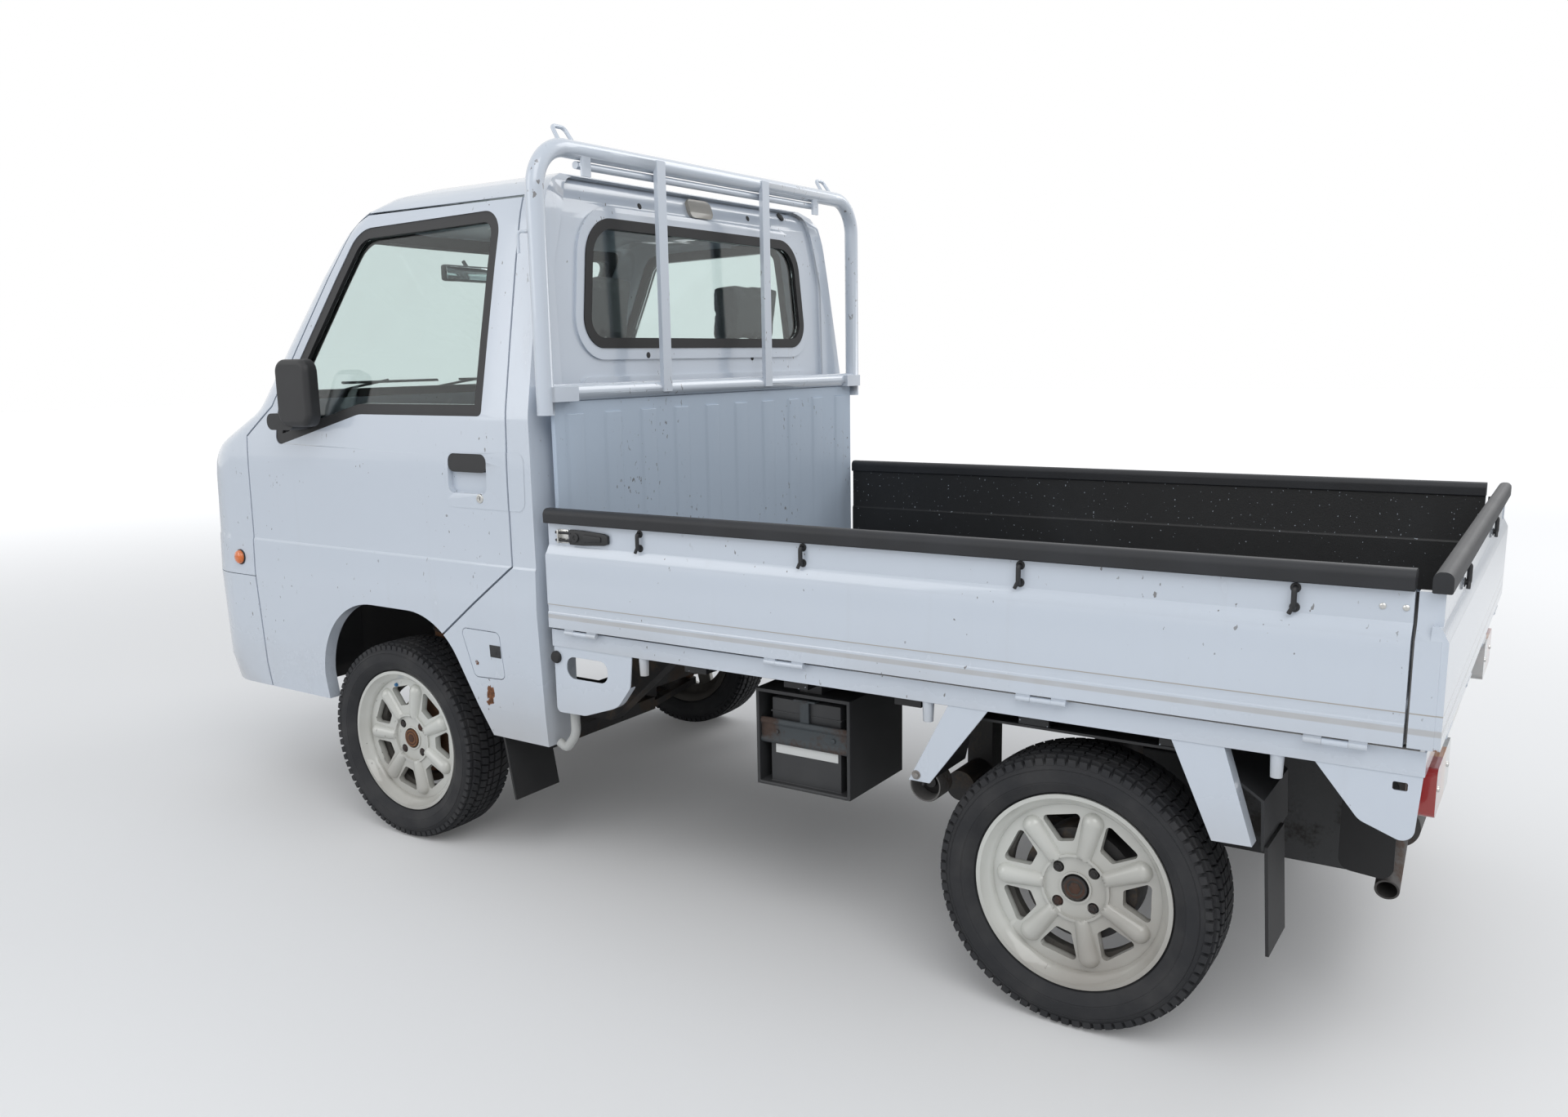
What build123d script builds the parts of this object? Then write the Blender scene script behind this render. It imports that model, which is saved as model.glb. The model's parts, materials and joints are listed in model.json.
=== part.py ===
from build123d import *
import math
import os

# Kei truck with a forward-control cab over the front axle, a drop-sided load bed and an engine
# behind the rear axle. Millimetres; +X forward, +Y left, +Z up; the origin is on the ground, at
# mid-length on the centre line. Right-hand pieces are mirror copies of the left-hand ones.

# Overall sizes
TRUCK_LENGTH = 3395.0
TRUCK_WIDTH = 1475.0
WHEELBASE = 1885.0
REAR_AXLE_X = -1097.0
NOSE_X = TRUCK_LENGTH / 2
TAIL_X = -TRUCK_LENGTH / 2
HALF_WIDTH = TRUCK_WIDTH / 2
FRONT_AXLE_X = REAR_AXLE_X + WHEELBASE

# Clearances
SHUT_GAP = 5.5
SEAT_GAP = 0.3

# Tyres and rims
TYRE_RADIUS = 273.0
TYRE_WIDTH = 155.0
RIM_RADIUS = 178.0
RIM_FLANGE_RADIUS = 194.0
RIM_WIDTH = 124.0
RIM_WALL = 8.0
TRACK = 1245.0
AXLE_Z = TYRE_RADIUS
WHEEL_Y = TRACK / 2
SPOKE_COUNT = 7
SPOKE_FACE = 34.0
SPOKE_BACK = 16.0
# Half of the opening between two spokes. Columns: radius, degrees off its middle, corner radius
SPOKE_WINDOW = [(94.0, 9.5, 7.0), (152.0, 16.0, 8.0)]
# A spoke's petal, a round bulge from the hub to the rim. Columns: distance from the hub, radius
PETAL_FOOT = (60.0, 15.0)
PETAL_HEAD = (139.0, 22.0)
PETAL_AXIS_Z = 29.0
HUB_RECESS_RADIUS = 63.0
HUB_RECESS_DEPTH = 7.0
HUB_RIM_WIDTH = 5.0
HUB_BORE_RADIUS = 28.0
NUT_PCD = 100.0
NUT_COUNT = 4
NUT_RADIUS = 8.5
NUT_WELL_RADIUS = 11.5
NUT_WELL_DEPTH = 7.0

# Front steering and suspension
KINGPIN_Y = 590.0
KNUCKLE_ARM = 95.0
LOWER_ARM_Z = 148.0
LOWER_ARM_DEPTH = 22.0
STRUT_TOP = (500.0, 628.0)
STRUT_FOOT = (480.0, 335.0)
STRUT_RADIUS = 20.0
STRUT_CLEARANCE = 4.0
SPRING_RADIUS = 42.0
TIE_ROD_Z = 225.0
TIE_ROD_RADIUS = 8.0
RACK_RADIUS = 12.0
RACK_HALF = 290.0
RACK_HOUSING_HALF = 200.0
HUB_RADIUS = 58.0
DISC_RADIUS = 104.0
DISC_THICKNESS = 12.0

# Ladder frame
RAIL_OUTER_Y = 355.0
RAIL_WIDTH = 55.0
RAIL_HEIGHT = 90.0
# Columns: x, level of the rail it joins
CROSS_MEMBERS = [
    (1560.0, "low"),
    (1180.0, "low"),
    (420.0, "low"),
    (-20.0, "high"),
    (-660.0, "high"),
    (-1320.0, "high"),
    (-1600.0, "high"),
]
SPRING_SEAT_Z = 560.0
GEARBOX_HALF = 130.0
KICK_FRONT_X = 330.0
KICK_BACK_X = 120.0
CROSS_MEMBER = 50.0

# Cab shell
CAB_WALL = 35.0
CAB_BOTTOM_Z = 357.0
ROOF_Z = 1731.0
FRONT_SWEEP = 9.0
CAB_FLOOR_Z = 425.0
SEAT_SHELF_Z = 668.0
FLOOR_THICKNESS = 22.0
FOOTWELL_BACK_X = 1126.5
CAB_FLOOR_BACK_X = 256.0
HALF_CABIN = 655.0
BACK_NOTCH_Y = 610.0
BUMPER_TOP_Z = 688.0
BUMPER_BACK_X = 1344.0

# Outline of the cab, from below upwards.
# Columns: height, setback of the nose, x of the back, half width at the back, half width in front,
# radius of the front corner
CAB_LEVELS = [
    (CAB_BOTTOM_Z, 26.0, 214.0, 716.0, 694.0, 190.0),
    (430.0, 0.0, 212.0, 724.0, 704.0, 205.0),
    (690.0, 2.0, 210.0, 737.5, 716.0, 210.0),
    (708.0, 4.0, 210.0, 737.5, 716.0, 210.0),
    (794.0, 8.0, 210.0, 734.5, 712.5, 206.0),
    (801.0, 9.0, 210.0, 731.5, 709.5, 204.0),
    (1010.0, 20.0, 213.0, 729.0, 706.0, 195.0),
    (1062.0, 62.0, 215.0, 727.0, 704.0, 180.0),
    (1102.0, 150.0, 217.0, 725.0, 702.0, 165.0),
    (1162.0, 283.0, 220.0, 722.0, 697.0, 140.0),
    (1331.0, 408.0, 224.0, 688.0, 668.0, 125.0),
    (1510.0, 542.0, 228.0, 650.0, 636.0, 118.0),
    (1630.0, 640.0, 231.0, 622.0, 611.0, 112.0),
    (1676.0, 706.0, 236.0, 604.0, 594.0, 110.0),
    (1706.0, 782.0, 246.0, 574.0, 564.0, 105.0),
    (1724.0, 876.0, 262.0, 530.0, 520.0, 98.0),
    (ROOF_Z, 1000.0, 290.0, 470.0, 460.0, 90.0),
]
# Levels whose corners are rounded, and how far the rounding reaches along the nose's profile
ROUND_LEVELS_Z = (1010.0, 1062.0, 1162.0, 1630.0)
ROUND_REACH = 36.0

# Left door, seen from the side
DOOR_FRONT_X = 1338.0
DOOR_REAR_X = 300.0
DOOR_TOP_Z = 1666.0
DOOR_KINK_Z = 800.0
DOOR_HINGES_Z = [735.0, 1010.0]
DOOR_OUTLINE = [
    (DOOR_FRONT_X, CAB_BOTTOM_Z - 30.0),
    (DOOR_FRONT_X, 1088.0),
    (1222.0, 1172.0),
    (928.0, 1648.0),
    (880.0, DOOR_TOP_Z),
    (DOOR_REAR_X + 12.0, DOOR_TOP_Z),
    (DOOR_REAR_X - 4.0, 1128.0),
    (DOOR_REAR_X - 8.0, DOOR_KINK_Z),
    (620.0, 560.0),
    (620.0, CAB_BOTTOM_Z - 30.0),
]
# Columns: x, height, corner radius
WINDOW_OUTLINE = [
    (1206.0, 1064.0, 22.0),
    (1196.0, 1166.0, 70.0),
    (904.0, 1632.0, 95.0),
    (374.0, 1644.0, 58.0),
    (378.0, 1156.0, 14.0),
    (842.0, 1156.0, 110.0),
]
WINDOW_TRIM = 27.0
GLASS_THICKNESS = 5.0
GLASS_INSET = 13.0
# Columns: x, height, corner radius
ARCH_OUTLINE = [
    (1070.0, CAB_BOTTOM_Z - 60.0, 0.0),
    (1070.0, 654.0, 240.0),
    (566.0, 654.0, 200.0),
    (374.0, CAB_BOTTOM_Z - 60.0, 0.0),
]
HANDLE_BOX = (367.0, 495.0, 1021.0, 1062.0)
HANDLE_PLATE = (236.0, 512.0, 934.0, 1072.0)
# Columns: x, height
LID_OUTLINE = [(483.0, 630.0), (348.0, 630.0), (341.0, 513.0), (447.0, 508.0)]
LID_THICKNESS = 9.0
LID_GAP = 2.0
LID_BACK_Y = HALF_WIDTH - LID_THICKNESS - 18.0

# Windscreen and rear window, seen from the front
# Columns: half width, height, corner radius
WINDSCREEN_LEVELS = [(588.0, 1186.0, 45.0), (520.0, 1640.0, 70.0)]
REAR_WINDOW_LEVELS = [(511.0, 1313.0, 70.0), (472.0, 1630.0, 105.0)]
# The pressed-in panel round the rear window. Columns: half width, height, corner radius
BACK_PANEL = [(598.0, 1120.0, 0.0), (602.0, 1500.0, 160.0), (534.0, 1718.0, 60.0)]
BACK_PANEL_DEPTH = 12.0
BACK_RIM_DEPTH = 6.0
BACK_RIM_WIDTH = 28.0
BACK_LEDGE_Z = 1243.0
SEAL_WIDTH = 26.0
SEAL_PROUD = 3.0
# Columns: half width, height, corner radius
HEADLAMP_OUTLINE = [
    (668.0, 716.0, 30.0),
    (662.0, 944.0, 40.0),
    (420.0, 920.0, 30.0),
    (420.0, 736.0, 30.0),
]

# Load bed
BED_FRONT_X = 182.0
BED_FLOOR_Z = 660.0
DECK_STEP = 3.0
DECK_THICKNESS = 15.0
DECK_HALF = 697.0
SILL_BOTTOM_Z = 616.0
SILL_OUTER_Y = 718.0
SILL_WIDTH = 28.0
TAIL_SILL_INSET = 19.5
BED_BEAM_HEIGHT = 55.0
BED_BEAM_WIDTH = 60.0
BED_BEAM_COUNT = 7
BED_BEAM_REACH = 680.0
TAIL_LAMP_DEPTH = 29.0
FRONT_RAIL_Z = CAB_FLOOR_Z - FLOOR_THICKNESS - SEAT_GAP - RAIL_HEIGHT
REAR_RAIL_Z = BED_FLOOR_Z - DECK_THICKNESS - BED_BEAM_HEIGHT - SEAT_GAP - RAIL_HEIGHT
GATE_THICKNESS = 37.0
GATE_STRIP_DEPTH = 15.0
GATE_BOTTOM_Z = 666.0
GATE_TOP_Z = 913.0
SHOULDER_LOW_Z = 838.0
SHOULDER_TOP_Z = 862.0
GATE_FRONT_X = 172.0
TAIL_RETURN = 47.0
TAIL_THICKNESS = 25.0
PAD_TOP_Z = 947.0
PAD_WIDTH = 38.0
HINGE_Z = 656.0
HINGE_INSET = 6.5
HINGE_RADIUS = 6.0
SIDE_HINGE_Y = HALF_WIDTH - HINGE_INSET
TAIL_HINGE_X = TAIL_X + HINGE_INSET
HINGE_LENGTH = 96.0
HINGE_MIDDLE = 40.0
SIDE_HINGES_X = [78.0, -486.0, -1048.0, -1547.0]
TAIL_HINGES_Y = [-560.0, -190.0, 190.0, 560.0]
HOOKS_X = [-104.0, -531.0, -1000.0, -1472.0]
PEGS_X = [-87.0, -806.0, -1456.0]
STAY_Y = 716.0
PLATE_HOLES = 220.0
PLATE_HOLE_RADIUS = 3.3
PLATE_Z = 570.0
# Columns: x, height
FRONT_LINER = [(1104.0, 250.0), (1104.0, 645.7), (584.0, 645.7), (560.0, 632.0), (376.0, 250.0)]
REAR_LINER = [
    (-742.0, 250.0),
    (-800.0, 520.0),
    (-880.0, 589.7),
    (-1330.0, 589.7),
    (-1434.9, 520.0),
    (-1446.8, 250.0),
]

# Headboard and guard frame
HEADBOARD_TOP_Z = 1190.0
HEADBOARD_PLATE = 12.0
HEADBOARD_RIB = 5.0
HEADBOARD_RIBS = 10
GUARD_X = 175.0
GUARD_TUBE_RADIUS = 21.0
GUARD_OUTER_Y = 728.0
GUARD_TOP_Z = 1783.0
GUARD_BEND = 100.0
GUARD_FOOT_Z = 1160.0
GUARD_BAR_WIDTH = 34.0
GUARD_BARS_Y = [281.0, -187.0]
GUARD_RAIL_Y = (566.0, -482.0)
GUARD_RAIL_Z = 1730.0
GUARD_RAIL_RADIUS = 9.0
GUARD_RAIL_TAB = 30.0
WIRE_HOOK_RADIUS = 4.0
HEADBOARD_HALF = GUARD_OUTER_Y - 2 * GUARD_TUBE_RADIUS - SEAT_GAP

# Cabin fittings
SEAT_Y = 350.0
SEAT_HALF = 225.0
WHEEL_TILT_DEG = 38.0
WHEEL_CENTRE = (1052.0, -SEAT_Y, 1022.0)
WHEEL_RIM_RADIUS = 178.0
WHEEL_GRIP_RADIUS = 13.0

# Columns: x, height, corner radius
SEAT_CUSHION = [
    (455.0, SEAT_SHELF_Z + SEAT_GAP, 20.0),
    (905.0, SEAT_SHELF_Z + SEAT_GAP, 20.0),
    (945.0, 812.0, 45.0),
    (455.0, 788.0, 30.0),
]
SEAT_BACK = [(392.0, 720.0, 20.0), (520.0, 740.0, 30.0), (402.0, 1330.0, 45.0), (292.0, 1330.0, 35.0)]
HEAD_REST = [(322.0, 1322.0, 10.0), (392.0, 1322.0, 10.0), (384.0, 1500.0, 32.0), (296.0, 1500.0, 32.0)]
HEAD_REST_HALF = 130.0
HUB_DROP = 34.0
# Columns: x0, x1, y0, y1, z0, z1
MIRROR_BOX = (950.0, 1085.0, 742.0, 780.0, 1124.0, 1300.0)

# Driveline and tanks
ENGINE_BOX = (-1540.0, -1230.0, -250.0, 250.0, 250.0, REAR_RAIL_Z + 19.7)
MUFFLER_RADIUS = 44.0
MUFFLER_X = -1592.0
BATTERY_BOX = (-590.0, -350.0, 400.0, 640.0, 345.0, 566.0)
TANK_BOX = (-560.0, 40.0, -640.0, -375.0, 320.0, 560.0)


def box(x0, x1, y0, y1, z0, z1):
    """A block between two corners."""
    return Pos((x0 + x1) / 2, (y0 + y1) / 2, (z0 + z1) / 2) * Box(x1 - x0, y1 - y0, z1 - z0)


def from_side(sketch, y0, y1):
    """A sketch drawn in (x, height), extruded from y0 to y1."""
    return extrude(Plane.XZ.offset(-y1) * sketch, amount=y1 - y0)


def from_front(sketch, x0, x1):
    """A sketch drawn in (y, height), extruded from x0 to x1."""
    return extrude(Plane.YZ.offset(x0) * sketch, amount=x1 - x0)


def outline(points):
    """A flat closed outline of (u, v) points."""
    return make_face(Polyline(*points, close=True))


def rounded_rect(u0, u1, v0, v1, radius):
    """A flat rectangle with round corners between two corners."""
    return Pos((u0 + u1) / 2, (v0 + v1) / 2) * RectangleRounded(u1 - u0, v1 - v0, radius)


def rounded(rows):
    """A flat closed outline of (u, v, corner radius) rows."""
    sketch = outline([(u, v) for u, v, radius in rows])
    for u, v, radius in rows:
        if radius > 0:
            corner = sketch.vertices().sort_by_distance((u, v))[0]
            sketch = fillet(corner, radius)
    return sketch


def barrel(x, z, radius, y0, y1):
    """A round bar along Y."""
    return Pos(x, (y0 + y1) / 2, z) * Rot(90, 0, 0) * Cylinder(radius, y1 - y0)


def rod(start, end, radius):
    """A round bar between two points."""
    line = Line(start, end)
    return extrude(Plane(origin=start, z_dir=line % 0) * Circle(radius), amount=line.length)


def right_of(shape):
    """The mirror copy on the right-hand side."""
    return mirror(shape, about=Plane.XZ)


def both_sides(shape):
    """A left-hand shape with its right-hand copy."""
    return apart([shape, right_of(shape)])


def apart(shapes):
    """Several shapes that share a node without touching."""
    solids = []
    for shape in shapes:
        solids.extend(shape.solids())
    return Compound(children=solids)


# Cab outline

def inset_profile(points, distance):
    """Move a profile of (reach, height) points inward, square to its spans and down from the roof."""
    normals = []
    for (r0, h0), (r1, h1) in zip(points, points[1:]):
        length = math.hypot(r1 - r0, h1 - h0)
        normals.append(((h1 - h0) / length, -(r1 - r0) / length))
    normals = [(1.0, 0.0)] + normals + [(0.0, 1.0)]
    moved = []
    for (reach, height), before, after in zip(points, normals, normals[1:]):
        scale = distance / (1 + before[0] * after[0] + before[1] * after[1])
        moved.append((reach - scale * (before[0] + after[0]), height - scale * (before[1] + after[1])))
    return moved


def toward(level, other):
    """A level's sizes moved a short way along the nose's profile to its neighbour."""
    span = math.hypot(other[0] - level[0], other[1] - level[1])
    share = min(0.45, ROUND_REACH / span)
    return tuple(a + (b - a) * share for a, b in zip(level, other))


def soft_levels():
    """The cab's levels with the corners of its profile rounded at the levels named for it."""
    rows = CAB_LEVELS[:1]
    for before, level, after in zip(CAB_LEVELS, CAB_LEVELS[1:], CAB_LEVELS[2:]):
        if level[0] not in ROUND_LEVELS_Z:
            rows.append(level)
            continue
        low, high = toward(level, before), toward(level, after)
        middle = tuple(0.25 * a + 0.5 * b + 0.25 * c for a, b, c in zip(low, level, high))
        rows.extend([low, middle, high])
    return rows + CAB_LEVELS[-1:]


def reach_at(profile, height):
    """The reach of a profile at a height, on a straight line between its points."""
    for (r0, h0), (r1, h1) in zip(profile, profile[1:]):
        if height <= h1:
            return r0 + (r1 - r0) * (height - h0) / (h1 - h0)
    return profile[-1][0]


def cab_section(height, front, back, half_back, half_front, corner):
    """One level of the cab: straight back and sides, round front corners and a bowed front."""
    sweep = math.radians(FRONT_SWEEP)
    edge_y = half_front - corner * (1 - math.sin(sweep))
    arc_end = front - edge_y * math.tan(sweep / 2)
    arc_start = arc_end - corner * math.cos(sweep)
    middle = (math.pi / 2 - sweep) / 2
    mid_x = arc_start + corner * math.sin(middle)
    mid_y = half_front - corner * (1 - math.cos(middle))
    edges = [
        Line((back, -half_back), (back, half_back)),
        Line((back, half_back), (arc_start, half_front)),
        ThreePointArc((arc_start, half_front), (mid_x, mid_y), (arc_end, edge_y)),
        ThreePointArc((arc_end, edge_y), (front, 0), (arc_end, -edge_y)),
        ThreePointArc((arc_end, -edge_y), (mid_x, -mid_y), (arc_start, -half_front)),
        Line((arc_start, -half_front), (back, -half_back)),
    ]
    return Pos(0, 0, height) * make_face(edges)


def cab_solid(inset, drop=0.0):
    """The cab's whole outer form, moved inward; drop lengthens it below, to cut an open bottom."""
    front = inset_profile([(NOSE_X - level[1], level[0]) for level in LEVELS], inset)
    back = inset_profile([(-level[2], level[0]) for level in LEVELS], inset)
    half_back = inset_profile([(level[3], level[0]) for level in LEVELS], inset)
    half_front = inset_profile([(level[4], level[0]) for level in LEVELS], inset)
    faces = []
    for (reach, height), level in zip(front, LEVELS):
        z = height
        sizes = (reach, -reach_at(back, z), reach_at(half_back, z), reach_at(half_front, z))
        corner = max(level[5] - inset, 20.0)
        if not faces and drop > 0:
            faces.append(cab_section(z - drop, *sizes, corner))
        faces.append(cab_section(z, *sizes, corner))
    return loft(faces, ruled=True)


LEVELS = soft_levels()
CAB_OUTER = cab_solid(0.0)
CAB_INNER = cab_solid(CAB_WALL, 60.0)
CAB_WALLS = CAB_OUTER - CAB_INNER


def skin(near, far):
    """A thin layer of the cab's walls between two depths."""
    return cab_solid(near) - cab_solid(far, 60.0)


WINDOW = rounded(WINDOW_OUTLINE)
ARCH = rounded(ARCH_OUTLINE)
LID = fillet(outline(LID_OUTLINE).vertices(), 14.0)


def window_from_levels(levels, grow):
    """A symmetric window outline, seen from the front, made larger or smaller."""
    low, high = levels
    rows = [
        (low[0], low[1], low[2]),
        (high[0], high[1], high[2]),
        (-high[0], high[1], high[2]),
        (-low[0], low[1], low[2]),
    ]
    sketch = rounded(rows)
    if grow:
        sketch = offset(sketch, amount=grow)
    return sketch


def left_region(sketch):
    """A side outline as a cutter through the left wall only."""
    return from_side(sketch, HALF_CABIN - 190.0, HALF_WIDTH + 20.0)


def headlamp_cutter(grow):
    """The left headlamp's outline as a cutter through the front wall."""
    sketch = rounded(HEADLAMP_OUTLINE)
    if grow:
        sketch = offset(sketch, amount=grow)
    return from_front(sketch, DOOR_FRONT_X + 60.0, NOSE_X + 20.0)


DOOR_SKETCH = outline(DOOR_OUTLINE)
CABIN_FIT = cab_solid(CAB_WALL + SEAT_GAP, 60.0)


def make_back_panel():
    """What is pressed into the cab's back: a panel, less deep round the window and below its ledge."""
    rows = BACK_PANEL + [(-half, height, radius) for half, height, radius in reversed(BACK_PANEL)]
    panel = rounded(rows)
    rim = window_from_levels(REAR_WINDOW_LEVELS, BACK_RIM_WIDTH)
    low = rounded_rect(-520.0, 520.0, 1100.0, BACK_LEDGE_Z, 30.0)
    deep = skin(-1.0, BACK_PANEL_DEPTH) & from_front(panel - rim - low, 100.0, 300.0)
    shallow = skin(-1.0, BACK_RIM_DEPTH) & from_front(panel & (rim + low), 100.0, 300.0)
    return [deep, shallow]


def make_cab_shell():
    """Roof, pillars, nose and back wall, with the door ways, windows and arches cut."""
    door_way = left_region(offset(DOOR_SKETCH, amount=SHUT_GAP, kind=Kind.INTERSECTION))
    arch_way = left_region(ARCH)
    lamp_way = headlamp_cutter(1.0)
    screen_way = from_front(window_from_levels(WINDSCREEN_LEVELS, 0), CAB_FLOOR_BACK_X + 300.0, NOSE_X)
    back_way = from_front(window_from_levels(REAR_WINDOW_LEVELS, 0), 100.0, CAB_FLOOR_BACK_X + 200.0)
    bumper_way = box(BUMPER_BACK_X - 60.0, NOSE_X + 10, -800, 800, 0, BUMPER_TOP_Z + 2.0)
    frame_way = box(100.0, CAB_FLOOR_BACK_X + 10, -BACK_NOTCH_Y, BACK_NOTCH_Y, 0, SEAT_SHELF_Z - 60.0)
    shell = CAB_WALLS
    for cutter in (door_way, arch_way, lamp_way):
        shell = shell - cutter - right_of(cutter)
    shell = shell - screen_way - back_way - bumper_way - frame_way
    lid_way = from_side(offset(LID, amount=LID_GAP), LID_BACK_Y, HALF_WIDTH + 20.0)
    shell = shell - lid_way
    for pressing in make_back_panel():
        shell = shell - pressing
    plate = handle_plate()
    shell = shell + (plate + right_of(plate)) - door_way - right_of(door_way)
    for z in DOOR_HINGES_Z:
        leaf = make_hinge_leaf(z)
        shell = shell + leaf + right_of(leaf)
    return shell


def handle_plate():
    """The slightly raised field round the left door's handle, which runs on over the pillar."""
    return skin(-1.2, 2.0) & left_region(rounded_rect(*HANDLE_PLATE, 24.0))


def make_hinge_leaf(z):
    """A plate on the left front pillar that the door's inner edge lies against at its hinge."""
    root_x = DOOR_FRONT_X + SHUT_GAP + 1.0
    end_x = root_x + 16.0
    low, high = z - 25, z + 25
    leaf = skin(CAB_WALL + SEAT_GAP, CAB_WALL + 8.0) & box(DOOR_FRONT_X - 18, end_x, 600, 760, low, high)
    return leaf + (skin(CAB_WALL - 3.0, CAB_WALL + 8.0) & box(root_x, end_x, 600, 760, low, high))


def make_bumper():
    """The painted front bumper, wrapped round the nose to the doors, with its low air intake."""
    region = box(BUMPER_BACK_X, NOSE_X + 10, -800, 800, 0, BUMPER_TOP_Z)
    intake = from_front(rounded_rect(-310, 310, 445, 515, 20), NOSE_X - 200.0, NOSE_X + 10)
    return CAB_WALLS & region - intake


def make_headlamp():
    """The left headlamp's whole depth, flush with the nose."""
    return CAB_WALLS & headlamp_cutter(0)


def make_lid():
    """The small left-hand service lid behind the arch, with its hinge lug."""
    front_x = LID_OUTLINE[0][0]
    lug = box(front_x - 38, front_x - 26, LID_BACK_Y + SEAT_GAP, LID_BACK_Y + 12, 556, 590)
    return (CAB_OUTER & from_side(LID, LID_BACK_Y + LID_THICKNESS, HALF_WIDTH + 20.0)) + lug


def make_door():
    """The left door's whole wall, with its window, its arch corner and the grip's hollow cut."""
    door = (CAB_WALLS + handle_plate()) & left_region(DOOR_SKETCH)
    door = door - left_region(WINDOW) - left_region(ARCH)
    x0, x1, z0, z1 = HANDLE_BOX
    hollow = rounded_rect(x0 - 4, x1 + 4, z0 - 52, z1 + 4, 20)
    return door - from_side(hollow, HALF_WIDTH - 28.0, HALF_WIDTH + 20.0)


def make_door_trim():
    """The black window frame and the grip over its hollow."""
    opening = offset(WINDOW, amount=-SEAT_GAP)
    sight = offset(WINDOW, amount=-WINDOW_TRIM)
    frame = skin(2.0, CAB_WALL - 3.0) & left_region(opening - sight)
    x0, x1, z0, z1 = HANDLE_BOX
    grip = skin(0.5, 12.0) & left_region(rounded_rect(x0 - 3.7, x1 + 3.7, z0, z1 + 3.7, 19.7))
    return apart([frame, grip])


def make_door_glass():
    """The left door's pane inside its frame."""
    pane = offset(WINDOW, amount=-WINDOW_TRIM - SEAT_GAP)
    return skin(GLASS_INSET, GLASS_INSET + GLASS_THICKNESS) & left_region(pane)


def make_mirror():
    """The left outside mirror, folded back along the glass, on its arm from the window's corner."""
    x0, x1, y0, y1, z0, z1 = MIRROR_BOX
    head = from_side(rounded_rect(x0, x1, z0, z1, 34), y0, y1)
    head = fillet(head.faces().sort_by(Axis.Y)[-1].edges(), 16)
    arm = from_side(rounded_rect(x1 - 50, x1 + 62, z0 - 10, z0 + 34, 21), HALF_WIDTH - 40, y1 - 12)
    return head + (arm - cab_solid(2.0 - SEAT_GAP))


def window_ring(levels, x0, x1, depth):
    """A rubber seal round a window, from its face at a depth to the wall's inner lip."""
    ring = window_from_levels(levels, -SEAT_GAP) - window_from_levels(levels, -SEAL_WIDTH)
    return skin(depth, CAB_WALL - 5.0) & from_front(ring, x0, x1)


def window_pane(levels, x0, x1):
    """A pane inside its seal."""
    pane = window_from_levels(levels, -SEAL_WIDTH - SEAT_GAP)
    return skin(GLASS_INSET, GLASS_INSET + GLASS_THICKNESS) & from_front(pane, x0, x1)


def make_high_lamp():
    """The lamp on the cab's back above the rear window."""
    lamp = from_front(rounded_rect(-52, 52, 1660, 1710, 18), 150.0, CAB_FLOOR_BACK_X)
    return skin(2.0, BACK_PANEL_DEPTH - SEAT_GAP) & lamp


def make_cab_floor():
    """Footwell floor, riser and seat shelf in one bent plate."""
    low = CAB_FLOOR_Z - FLOOR_THICKNESS
    profile = [
        (CAB_FLOOR_BACK_X - 20, SEAT_SHELF_Z),
        (FOOTWELL_BACK_X, SEAT_SHELF_Z),
        (FOOTWELL_BACK_X, CAB_FLOOR_Z),
        (NOSE_X, CAB_FLOOR_Z),
        (NOSE_X, low),
        (FOOTWELL_BACK_X - FLOOR_THICKNESS, low),
        (FOOTWELL_BACK_X - FLOOR_THICKNESS, SEAT_SHELF_Z - FLOOR_THICKNESS),
        (CAB_FLOOR_BACK_X - 20, SEAT_SHELF_Z - FLOOR_THICKNESS),
    ]
    plate = from_side(outline(profile), -HALF_CABIN - 60, HALF_CABIN + 60) & CABIN_FIT
    side_gap = box(DOOR_REAR_X - 20, BUMPER_BACK_X + 6, HALF_CABIN, HALF_WIDTH, 0, ROOF_Z)
    return plate - side_gap - right_of(side_gap)


def make_dashboard():
    """The dashboard, from the scuttle to its rounded edge over the footwell."""
    profile = [
        (NOSE_X, 760.0, 0.0),
        (NOSE_X, 1040.0, 0.0),
        (1480.0, 1092.0, 0.0),
        (1240.0, 1088.0, 40.0),
        (1196.0, 985.0, 40.0),
        (1262.0, 862.0, 30.0),
        (1430.0, 760.0, 30.0),
    ]
    body = from_side(rounded(profile), -HALF_CABIN, HALF_CABIN) & CABIN_FIT
    return body


def column_point(distance):
    """A point on the steering column's line, below the wheel's centre."""
    angle = math.radians(WHEEL_TILT_DEG)
    x, y, z = WHEEL_CENTRE
    return (x + distance * math.sin(angle), y, z - distance * math.cos(angle))


def make_steering_column():
    """The column from the wheel's hub down to the footwell floor."""
    column = rod(column_point(HUB_DROP + SEAT_GAP), column_point(760.0), 24.0)
    column = column + rod(column_point(90.0), column_point(230.0), 38.0)
    return column - box(1000, NOSE_X, -700, 0, 0, CAB_FLOOR_Z + SEAT_GAP)


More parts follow.
